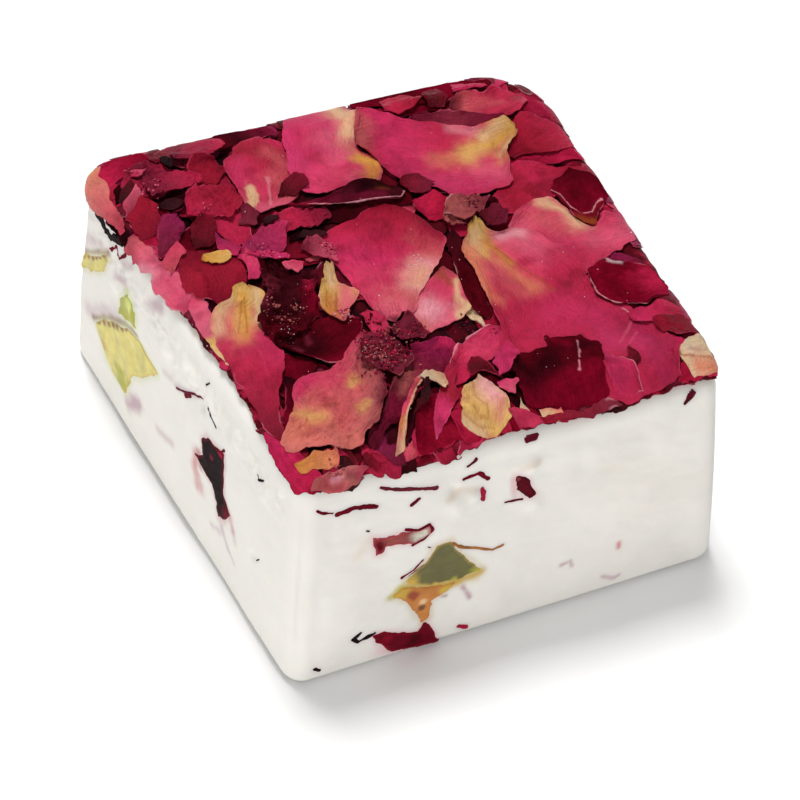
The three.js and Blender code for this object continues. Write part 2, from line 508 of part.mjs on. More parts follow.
// More room is kept where the layout bends over the rim, because flat facets cut across the bend.
function clearanceAt(cell) {
  const { distance } = rimPlace(rasterPlace(Math.floor(cell / RASTER)), rasterPlace(cell % RASTER));
  const past = THREE.MathUtils.smoothstep(distance, -0.8, 0);
  const before = 1 - THREE.MathUtils.smoothstep(distance, 2.6, 3.4);
  return PETAL_GAP + RIM_CLEARANCE * past * before;
}

// Raises a petal's corners until every facet clears the pile, then adds the petal to the pile.
function settle(corners, facets) {
  for (let round = 0; round < SETTLE_ROUNDS; round += 1) {
    for (const facet of facets) {
      const own = facet.map((index) => corners[index]);
      let worst = 0;
      let push = [0, 0, 0];
      eachCell(own, (cell, weights) => {
        const height = weights.reduce((sum, weight, k) => sum + weight * own[k].height, 0);
        const short = pile[cell] + clearanceAt(cell) - height;
        if (short > worst) {
          worst = short;
          push = weights.map((weight) => Math.max(weight, LEAST_SHARE));
        }
      });
      const share = push.reduce((sum, weight) => sum + weight * weight, 0);
      own.forEach((corner, k) => { corner.height += worst > 0 ? worst * push[k] / share : 0; });
    }
  }
  for (const facet of facets) {
    const own = facet.map((index) => corners[index]);
    eachCell(own, (cell, weights) => {
      const height = weights.reduce((sum, weight, k) => sum + weight * own[k].height, 0);
      pile[cell] = Math.max(pile[cell], height + PETAL_THICKNESS);
    });
  }
}

// Half width along a petal, from its five stations and its two ends.
function widthCurve(stations, ends) {
  const widths = [ends[0], ...stations, ends[1]];
  return new THREE.SplineCurve(widths.map((width, i) => new THREE.Vector2(i, width)));
}

// How far an end's corner is drawn back to round it: less where the petal narrows fast towards that end,
// so that no facet folds over.
function drawnBack(end, nearest, length) {
  const narrowing = 3 * Math.abs(nearest - end);
  return end * Math.min(PETAL_END_ROUNDING, PETAL_END_SLACK * length / (4 * end + 2 * narrowing));
}

// A petal's layout point: along runs 0 to 1 from base to tip, across runs -1 to 1 from right to left.
function petalPoint(petal, along, across) {
  const axis = new THREE.Vector2(petal.tip[0] - petal.base[0], petal.tip[1] - petal.base[1]);
  const length = axis.length();
  axis.divideScalar(length);
  const stations = across > 0 ? petal.left : petal.right;
  const offset = across * widthCurve(stations, petal.ends).getPoint(along).y;
  const atBase = drawnBack(petal.ends[0], stations[0], length) * (1 - along) ** 4;
  const atTip = drawnBack(petal.ends[1], stations.at(-1), length) * along ** 4;
  const distance = along * length + across * across * (atBase - atTip);
  return {
    u: petal.base[0] + axis.x * distance - axis.y * offset,
    v: petal.base[1] + axis.y * distance + axis.x * offset,
  };
}

function petalCells(petal) {
  const length = Math.hypot(petal.tip[0] - petal.base[0], petal.tip[1] - petal.base[1]);
  const width = Math.max(...petal.left) + Math.max(...petal.right);
  return {
    columns: THREE.MathUtils.clamp(Math.round(length / PETAL_FACET_LENGTH), 4, 10),
    rows: THREE.MathUtils.clamp(Math.round(width / PETAL_FACET_LENGTH), 2, 7),
  };
}

function petalGeometry(petal) {
  const { columns, rows } = petalCells(petal);
  const width = rows + 1;
  const corners = [];
  for (let i = 0; i <= columns; i += 1) {
    for (let j = 0; j <= rows; j += 1) {
      const across = 2 * j / rows - 1;
      const place = petalPoint(petal, i / columns, across);
      const cup = petal.cup ?? 0;
      const shape = Math.max(cup, 0) * across * across + Math.max(-cup, 0) * (1 - across * across);
      corners.push({ ...place, height: (petal.lift ?? 0) + shape });
    }
  }
  for (const corner of corners) {
    const i = Math.round((corner.u - LOW_CORNER) / CELL);
    const j = Math.round((corner.v - LOW_CORNER) / CELL);
    corner.height += pile[i * RASTER + j] + PETAL_GAP;
  }
  const facets = [];
  for (let i = 0; i < columns; i += 1) {
    for (let j = 0; j < rows; j += 1) {
      const [a, b, c, d] = [i * width + j, (i + 1) * width + j, (i + 1) * width + j + 1, i * width + j + 1];
      facets.push([a, b, c], [a, c, d]);
    }
  }
  settle(corners, facets);
  const place = (i, j, raise) => {
    const { u, v, height } = corners[i * width + j];
    return rollOver(u, v, height + raise);
  };
  return slab(columns, rows, (i, j) => place(i, j, 0), (i, j) => place(i, j, PETAL_THICKNESS));
}

// ---------------------------------------------------------------- the whole

const materials = Object.fromEntries(Object.entries(LOOKS)
  .map(([look, values]) => [look, new THREE.MeshStandardMaterial({ ...values, metalness: 0 })]));

const nougatSquare = new THREE.Group();

function addMesh({ name, look, geometry }) {
  geometry.computeVertexNormals();
  const mesh = new THREE.Mesh(geometry, materials[look]);
  mesh.name = name;
  nougatSquare.add(mesh);
}

nougatPieces().forEach(addMesh);
addMesh({ name: 'petal_bed', look: 'petal_bed', geometry: petalBed() });
layBed();
for (const petal of PETALS) {
  addMesh({ name: petal.name, look: petal.look, geometry: petalGeometry(petal) });
}

export default nougatSquare;
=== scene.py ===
"""Looks of a nougat square: soft white nougat with pistachio and petal flakes in its cut sides, under a
pressed layer of dried rose petals.

Lengths are in millimetres until a mesh is made, which is in metres. As in the CAD source, everything is
drawn on an ideal square block and bent by hand_cut() to the block's crooked corners. Petals are drawn on a
flat layout (u, v) of the top face, folded over the rim by roll_over(), and laid on a pile by drape().
"""
import math

import bpy
import numpy as np
from mathutils import Matrix, Vector


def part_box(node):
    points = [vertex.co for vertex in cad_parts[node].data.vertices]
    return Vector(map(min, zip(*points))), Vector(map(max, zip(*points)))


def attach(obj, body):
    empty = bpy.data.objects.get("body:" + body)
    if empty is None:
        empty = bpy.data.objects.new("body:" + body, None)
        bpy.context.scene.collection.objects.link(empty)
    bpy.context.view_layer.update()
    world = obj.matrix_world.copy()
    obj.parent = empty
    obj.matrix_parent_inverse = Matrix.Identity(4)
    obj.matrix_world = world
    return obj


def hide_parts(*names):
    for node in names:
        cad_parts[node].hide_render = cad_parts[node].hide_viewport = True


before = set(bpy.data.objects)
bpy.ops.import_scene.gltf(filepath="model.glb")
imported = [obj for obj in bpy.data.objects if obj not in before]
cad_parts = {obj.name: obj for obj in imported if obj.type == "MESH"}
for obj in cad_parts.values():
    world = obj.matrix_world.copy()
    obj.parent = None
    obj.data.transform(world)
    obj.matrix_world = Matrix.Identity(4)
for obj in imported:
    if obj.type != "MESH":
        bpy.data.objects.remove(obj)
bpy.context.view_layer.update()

# ---------------------------------------------------------------- driving dimensions

MM = 0.001
FINE = 1
HALF_SIDE = 18.0
BLOCK_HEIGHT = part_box("nougat_block")[1].z / MM
RIM_RADIUS = 1.4
BASE_RADIUS = 0.9
FACE_BULGE = 0.15
PETAL_THICKNESS = 0.06
PETAL_GAP = 0.02
PETAL_BEND = 0.9
PETAL_SPACING = 0.1 * FINE
OUTLINE_SOFT = 0.25
SCRAP_SOFT = 0.1
RIM_HEIGHT = 0.6
BACK_LIFT = 0.46
FRAGMENT_SPACING = 0.18 * FINE
BODY_SPACING = 0.185 * FINE
PLATE_SPACING = 0.09 * FINE

# Each corner of the square: its side, its upright rounding, and how far its foot and its top stand from
# the corner of the ideal square.
CORNERS = [
    {"side": (-1, -1), "radius": 1.5, "foot": (0.0, -1.4), "top": (0.1, 0.6)},
    {"side": (1, -1), "radius": 2.0, "foot": (0.3, -0.7), "top": (-2.1, 0.0)},
    {"side": (1, 1), "radius": 5.0, "foot": (0.0, 0.9), "top": (0.2, 0.5)},
    {"side": (-1, 1), "radius": 3.0, "foot": (-0.4, 3.0), "top": (-1.1, 1.1)},
]

# ---------------------------------------------------------------- colours, as seen, red green blue

# The last grey paints the contact shadow at the nougat's base. Blush, pink, salmon, cream, rust and sugar
# also paint highlights, and black, bark, mauve, bone and nougat_warm also paint shade, where noted.
COLOURS = {
    "nougat": (236, 232, 225), "nougat_warm": (232, 222, 205), "claw": (214, 165, 92),
    "cream": (220, 180, 136), "bone": (214, 188, 160), "yellow": (210, 150, 62), "amber": (192, 122, 54),
    "apricot": (212, 120, 90), "salmon": (204, 106, 98), "coral": (192, 78, 86), "pink": (216, 90, 116),
    "blush": (226, 150, 160), "rose": (202, 56, 90), "crimson": (178, 31, 66), "red": (148, 18, 42),
    "magenta": (190, 40, 86), "fuchsia": (196, 50, 98), "violet": (138, 28, 72), "plum": (108, 20, 44),
    "wine": (116, 8, 32), "maroon": (82, 8, 20), "dusk": (118, 36, 52), "umber": (58, 12, 20),
    "black": (30, 6, 11), "rust": (150, 66, 34), "dusty": (176, 92, 88), "mauve": (168, 120, 140),
    "green": (96, 92, 42), "lime": (170, 168, 50), "leaf": (205, 214, 108), "straw": (216, 202, 112),
    "gold": (196, 160, 60), "tan": (182, 120, 66), "bark": (110, 66, 40), "flake": (104, 16, 32),
    "soot": (34, 16, 20), "sugar": (240, 225, 225), "painted_base_shade": (132, 130, 122),
}


def linear(name):
    """A named colour as linear red, green and blue."""
    value = np.array(COLOURS[name]) / 255
    return np.where(value <= 0.04045, value / 12.92, ((value + 0.055) / 1.055) ** 2.4)


# ---------------------------------------------------------------- repeatable unevenness


def smooth(value, low, high):
    """0 below low, 1 above high, smooth between."""
    k = np.clip((value - low) / (high - low), 0, 1)
    return k * k * (3 - 2 * k)


def hashed(i, j, seed):
    """A fixed number from -1 to 1 for each pair of whole numbers."""
    mixed = i * 374761393 + j * 668265263 + seed * 144269504
    mixed = (mixed ^ (mixed >> 13)) * 1274126177
    mixed = mixed ^ (mixed >> 16)
    return (mixed & 0xFFFF) / 32767.5 - 1


def clouds(x, y, size, seed, octaves=3):
    """Soft noise around 0, whose largest blots have this size."""
    total = np.zeros(np.broadcast(x, y).shape)
    weight = 1.0
    for octave in range(octaves):
        i = np.floor(x / size).astype(np.int64)
        j = np.floor(y / size).astype(np.int64)
        a = smooth(x / size - i, 0, 1)
        b = smooth(y / size - j, 0, 1)
        low = hashed(i, j, seed + octave) * (1 - a) + hashed(i + 1, j, seed + octave) * a
        high = hashed(i, j + 1, seed + octave) * (1 - a) + hashed(i + 1, j + 1, seed + octave) * a
        total += weight * (low * (1 - b) + high * b)
        weight *= 0.5
        size *= 0.5
    return total


def ridges(x, y, size, seed, octaves=3):
    """Noise from 0 to about 1 with narrow crests, like crumpled paper."""
    return np.clip(1 - 1.6 * np.abs(clouds(x, y, size, seed, octaves)), 0, 1)


# ---------------------------------------------------------------- the crooked block


def hand_cut(points):
    """Moves points of the ideal block to where the crooked cut puts them."""
    rise = np.clip(points[..., 2] / BLOCK_HEIGHT, 0, 1.15)
    across = np.clip(points[..., 0] / HALF_SIDE, -1.3, 1.3)
    along = np.clip(points[..., 1] / HALF_SIDE, -1.3, 1.3)
    moved = points.copy()
    for corner in CORNERS:
        weight = (1 + corner["side"][0] * across) * (1 + corner["side"][1] * along) / 4
        for axis in (0, 1):
            moved[..., axis] += weight * (corner["foot"][axis] * (1 - rise) + corner["top"][axis] * rise)
    return moved


def rim_place(u, v):
    """How far layout points lie outside the rim's middle line, and the direction outwards."""
    inset = HALF_SIDE - RIM_RADIUS
    round_ = np.zeros(np.shape(u))
    for corner in CORNERS:
        here = (np.sign(u + 1e-9) == corner["side"][0]) & (np.sign(v + 1e-9) == corner["side"][1])
        round_ = np.where(here, corner["radius"] - RIM_RADIUS, round_)
    over_u = np.abs(u) - (inset - round_)
    over_v = np.abs(v) - (inset - round_)
    reach = np.hypot(over_u, over_v)
    at_corner = (over_u > 0) & (over_v > 0)
    distance = np.where(at_corner, reach, np.maximum(over_u, over_v)) - round_
    out_u = np.where(at_corner, over_u / reach, over_u > over_v) * np.sign(u)
    out_v = np.where(at_corner, over_v / reach, over_u <= over_v) * np.sign(v)
    return distance, out_u, out_v


def roll_over(u, v, height):
    """Layout points at a height over the nougat's skin, folded over the rim and down the side."""
    distance, out_u, out_v = rim_place(u, v)
    beyond = np.maximum(distance, 0)
    angle = np.minimum(beyond / RIM_RADIUS, math.pi / 2)
    down = np.maximum(beyond - RIM_RADIUS * math.pi / 2, 0)
    reach = (RIM_RADIUS + height) * np.sin(angle) - beyond
    z = BLOCK_HEIGHT - RIM_RADIUS + (RIM_RADIUS + height) * np.cos(angle) - down
    return hand_cut(np.stack([u + out_u * reach, v + out_v * reach, z], -1))


# Where the knife cut the petals off: how far beyond the rim's middle line, on each side, and along the
# left and the front as places and reaches.
CUT_BACK, CUT_RIGHT, CUT_WANDER = 1.6, 1.5, 0.14
CUT_LEFT = ([-17, -14, -10, -6], [1.5, 1.35, 1.0, 0.8])
CUT_FRONT = ([-16, -14, -8, -6, -4, -1, 2, 5, 8, 10, 12, 16],
             [1.4, 1.75, 1.8, 1.6, 1.3, 0.9, 0.8, 1.1, 1.2, 1.3, 0.9, 0.7])


def cut_at_rim(u, v):
    """Layout points drawn back to where the knife cut the petals off."""
    distance, out_u, out_v = rim_place(u, v)
    reach = CUT_BACK * np.maximum(out_v, 0) ** 2 + CUT_RIGHT * np.maximum(out_u, 0) ** 2
    reach = reach + np.interp(v, *CUT_LEFT) * np.maximum(-out_u, 0) ** 2
    reach = reach + np.interp(u, *CUT_FRONT) * np.maximum(-out_v, 0) ** 2
    reach = reach + CUT_WANDER * clouds(u, v, 1.4, 90) + CUT_WANDER * clouds(u, v, 0.5, 94, 2)
    over = np.maximum(distance - reach, 0)
    return u - out_u * over, v - out_v * over


def pressed(u, v, height):
    """Heights over the nougat's skin, drawn together where the petals bend over the rim."""
    distance, out_u, out_v = rim_place(u, v)
    low = RIM_HEIGHT * (1 - np.exp(-np.maximum(height, 0) / RIM_HEIGHT))
    low = low + BACK_LIFT * (np.maximum(out_u, 0) ** 2 + np.maximum(out_v, 0) ** 2)
    return height + (low - height) * smooth(distance, -1.0, 0.5)


# ---------------------------------------------------------------- meshes


def new_mesh(name, points, faces, flat_faces):
    """A mesh from points in millimetres. Its last flat_faces faces are flat, and the others smooth."""
    mesh = bpy.data.meshes.new(name)
    count = len(faces)
    mesh.vertices.add(len(points))
    mesh.vertices.foreach_set("co", (points * MM).astype(np.float32).ravel())
    mesh.loops.add(count * 4)
    mesh.loops.foreach_set("vertex_index", faces.astype(np.int32).ravel())
    mesh.polygons.add(count)
    mesh.polygons.foreach_set("loop_start", np.arange(0, count * 4, 4, dtype=np.int32))
    is_smooth = np.ones(count, bool)
    is_smooth[count - flat_faces:] = False
    mesh.polygons.foreach_set("use_smooth", is_smooth)
    return mesh


def make_piece(name, points, faces, tint, grain, material, replaced=(), flat_faces=0):
    """A piece on the one body, with a colour and a place for its grain at each of its points."""
    mesh = new_mesh(name, points, faces, flat_faces)
    colour = mesh.attributes.new("tint", "FLOAT_COLOR", "POINT")
    colour.data.foreach_set("color", np.hstack([tint, np.ones((len(tint), 1))]).astype(np.float32).ravel())
    place = mesh.attributes.new("grain", "FLOAT_VECTOR", "POINT")
    place.data.foreach_set("vector", grain.astype(np.float32).ravel())
    mesh.update(calc_edges=True)
    mesh.validate()
    mesh.materials.append(material)
    piece = bpy.data.objects.new(name, mesh)
    bpy.context.scene.collection.objects.link(piece)
    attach(piece, "root")
    if replaced:
        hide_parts(*replaced)


def grid_faces(rows, columns):
    """Faces of a grid of points, and the closed loop of points round its edge."""
    index = np.arange(rows * columns).reshape(rows, columns)
    faces = np.stack([index[:-1, :-1], index[1:, :-1], index[1:, 1:], index[:-1, 1:]], -1).reshape(-1, 4)
    loop = np.concatenate([index[:-1, 0], index[-1, :-1], index[:0:-1, -1], index[0, :0:-1]])
    return faces, loop


class Pieces:
    """Gathers sheets into one mesh."""

    def __init__(self):
        self.points, self.tint, self.grain, self.faces, self.edges = [], [], [], [], []
        self.count = 0

    def add_sheet(self, under, over, tint, grain):
        """A closed sheet from two grids of points, with one tint and one grain place for each."""
        rows, columns = over.shape[:2]
        faces, loop = grid_faces(rows, columns)
        layer = rows * columns
        after = np.roll(loop, -1)
        edge = np.stack([loop, after, after + layer, loop + layer], -1)
        self.points += [under.reshape(-1, 3), over.reshape(-1, 3)]
        self.tint += [tint.reshape(-1, 3)] * 2
        self.grain += [grain.reshape(-1, 3)] * 2
        self.faces += [faces[:, ::-1] + self.count, faces + self.count + layer]
        self.edges.append(edge + self.count)
        self.count += 2 * layer

    def add_cutout(self, under, over, tint, kept):
        """A closed sheet from the cells of two grids of points whose four corners are kept."""
        faces, _ = grid_faces(*kept.shape)
        faces = faces[kept.reshape(-1)[faces].all(1)]
        layer = kept.size
        pairs = np.concatenate([faces[:, [k, (k + 1) % 4]] for k in range(4)])
        keys = pairs[:, 0] * layer + pairs[:, 1]
        border = pairs[~np.isin(keys, pairs[:, 1] * layer + pairs[:, 0])]
        edge = np.stack([border[:, 1], border[:, 0], border[:, 0] + layer, border[:, 1] + layer], -1)
        both = np.concatenate([faces[:, ::-1], faces + layer])
        used = np.unique(np.concatenate([both.ravel(), edge.ravel()]))
        number = np.zeros(layer * 2, int)
        number[used] = np.arange(len(used))
        points = np.concatenate([under.reshape(-1, 3), over.reshape(-1, 3)])[used]
        self.points.append(points)
        self.tint.append(np.tile(tint.reshape(-1, 3), (2, 1))[used])
        self.grain.append(points)
        self.faces.append(number[both] + self.count)
        self.edges.append(number[edge] + self.count)
        self.count += len(points)

    def make(self, name, material, replaced=()):
        """Makes the mesh of all the sheets."""
        edges = np.concatenate(self.edges)
        faces = np.concatenate(self.faces + [edges])
        make_piece(name, np.concatenate(self.points), faces, np.concatenate(self.tint),
                   np.concatenate(self.grain), material, replaced, len(edges))


# ---------------------------------------------------------------- the pile of petals

CELL = 0.12
LOW_CORNER = -26.0
CELLS = 390
MOST_PASSES = 240
pile = np.zeros((CELLS, CELLS))


def sampled(raster, u, v):
    """Values of a raster over the layout at layout points."""
    i = np.clip((u - LOW_CORNER) / CELL, 0, CELLS - 1.001)
    j = np.clip((v - LOW_CORNER) / CELL, 0, CELLS - 1.001)
    i0, j0 = i.astype(int), j.astype(int)
    a, b = i - i0, j - j0
    low = raster[i0, j0] * (1 - a) + raster[i0 + 1, j0] * a
    high = raster[i0, j0 + 1] * (1 - a) + raster[i0 + 1, j0 + 1] * a
    return low * (1 - b) + high * b


def halved(grid):
    """The grid with a point set midway between each two."""
    tall = np.repeat(grid, 2, 0)[:-1]
    tall[1::2] = (grid[:-1] + grid[1:]) / 2
    wide = np.repeat(tall, 2, 1)[:, :-1]
    wide[:, 1::2] = (tall[:, :-1] + tall[:, 1:]) / 2
    return wide


def add_to_pile(u, v, top):
    """Raises the pile to the top of a sheet given as a grid."""
    for _ in range(1 + FINE // 2):
        u, v, top = halved(u), halved(v), halved(top)
    i = np.clip(np.rint((u - LOW_CORNER) / CELL).astype(int), 0, CELLS - 1)
    j = np.clip(np.rint((v - LOW_CORNER) / CELL).astype(int), 0, CELLS - 1)
    np.maximum.at(pile, (i.ravel(), j.ravel()), top.ravel())


def drape(u, v, reach, spacing):
    """Heights of a sheet that lies on the pile and bends over about this reach."""
    wide = np.pad(pile, 1, mode="edge")
    crest = np.max([wide[i:i + CELLS, j:j + CELLS] for i in range(3) for j in range(3)], 0)
    floor = sampled(crest, u, v)
    height = floor.copy()
    for _ in range(int(min(MOST_PASSES, (reach / spacing) ** 2))):
        wide = np.pad(height, 1, mode="edge")
        mean = (wide[:-2, 1:-1] + wide[2:, 1:-1] + wide[1:-1, :-2] + wide[1:-1, 2:]) / 4
        height = np.maximum(mean, floor)
    return height


# ---------------------------------------------------------------- petals


PLAIN_PETAL = {"outline": (), "soft": OUTLINE_SOFT, "cup": 0.0, "hangs": False, "rim": "pink",
               "relief": 0.12, "crumple": 0.02, "ragged": 0.1, "washes": (), "marks": ()}
PLAIN_SCRAP = {**PLAIN_PETAL, "soft": SCRAP_SOFT, "rim": "rose", "relief": 0.1, "crumple": 0.12,
               "ragged": 0.12}


def petal(name, look, base, tip, **details):
    """A petal's shape and looks. It lies from its base to its tip, or along these to its outline's ends."""
    shape = {**PLAIN_PETAL, "name": name, "look": look, "base": base, "tip": tip, **details}
    if shape["outline"]:
        base = np.array(base)
        axis = (tip - base) / math.dist(shape["base"], tip)
        run = (np.array(shape["outline"]) - base) @ axis
        shape["base"] = tuple(base + run.min() * axis)
        shape["tip"] = tuple(base + run.max() * axis)
    return shape


def scrap(first, last, outline, **details):
    """A torn bit of petal, with its colours at the outline's first point and farthest from it."""
    tip = max(outline, key=lambda point: math.dist(point, outline[0]))
    shape = {**PLAIN_SCRAP, "base": outline[0], "tip": tip, "outline": outline,
             "ramp": [(0, first), (1, last)], **details}
    if first == "black":
        shape["rim"] = "umber"
    return shape
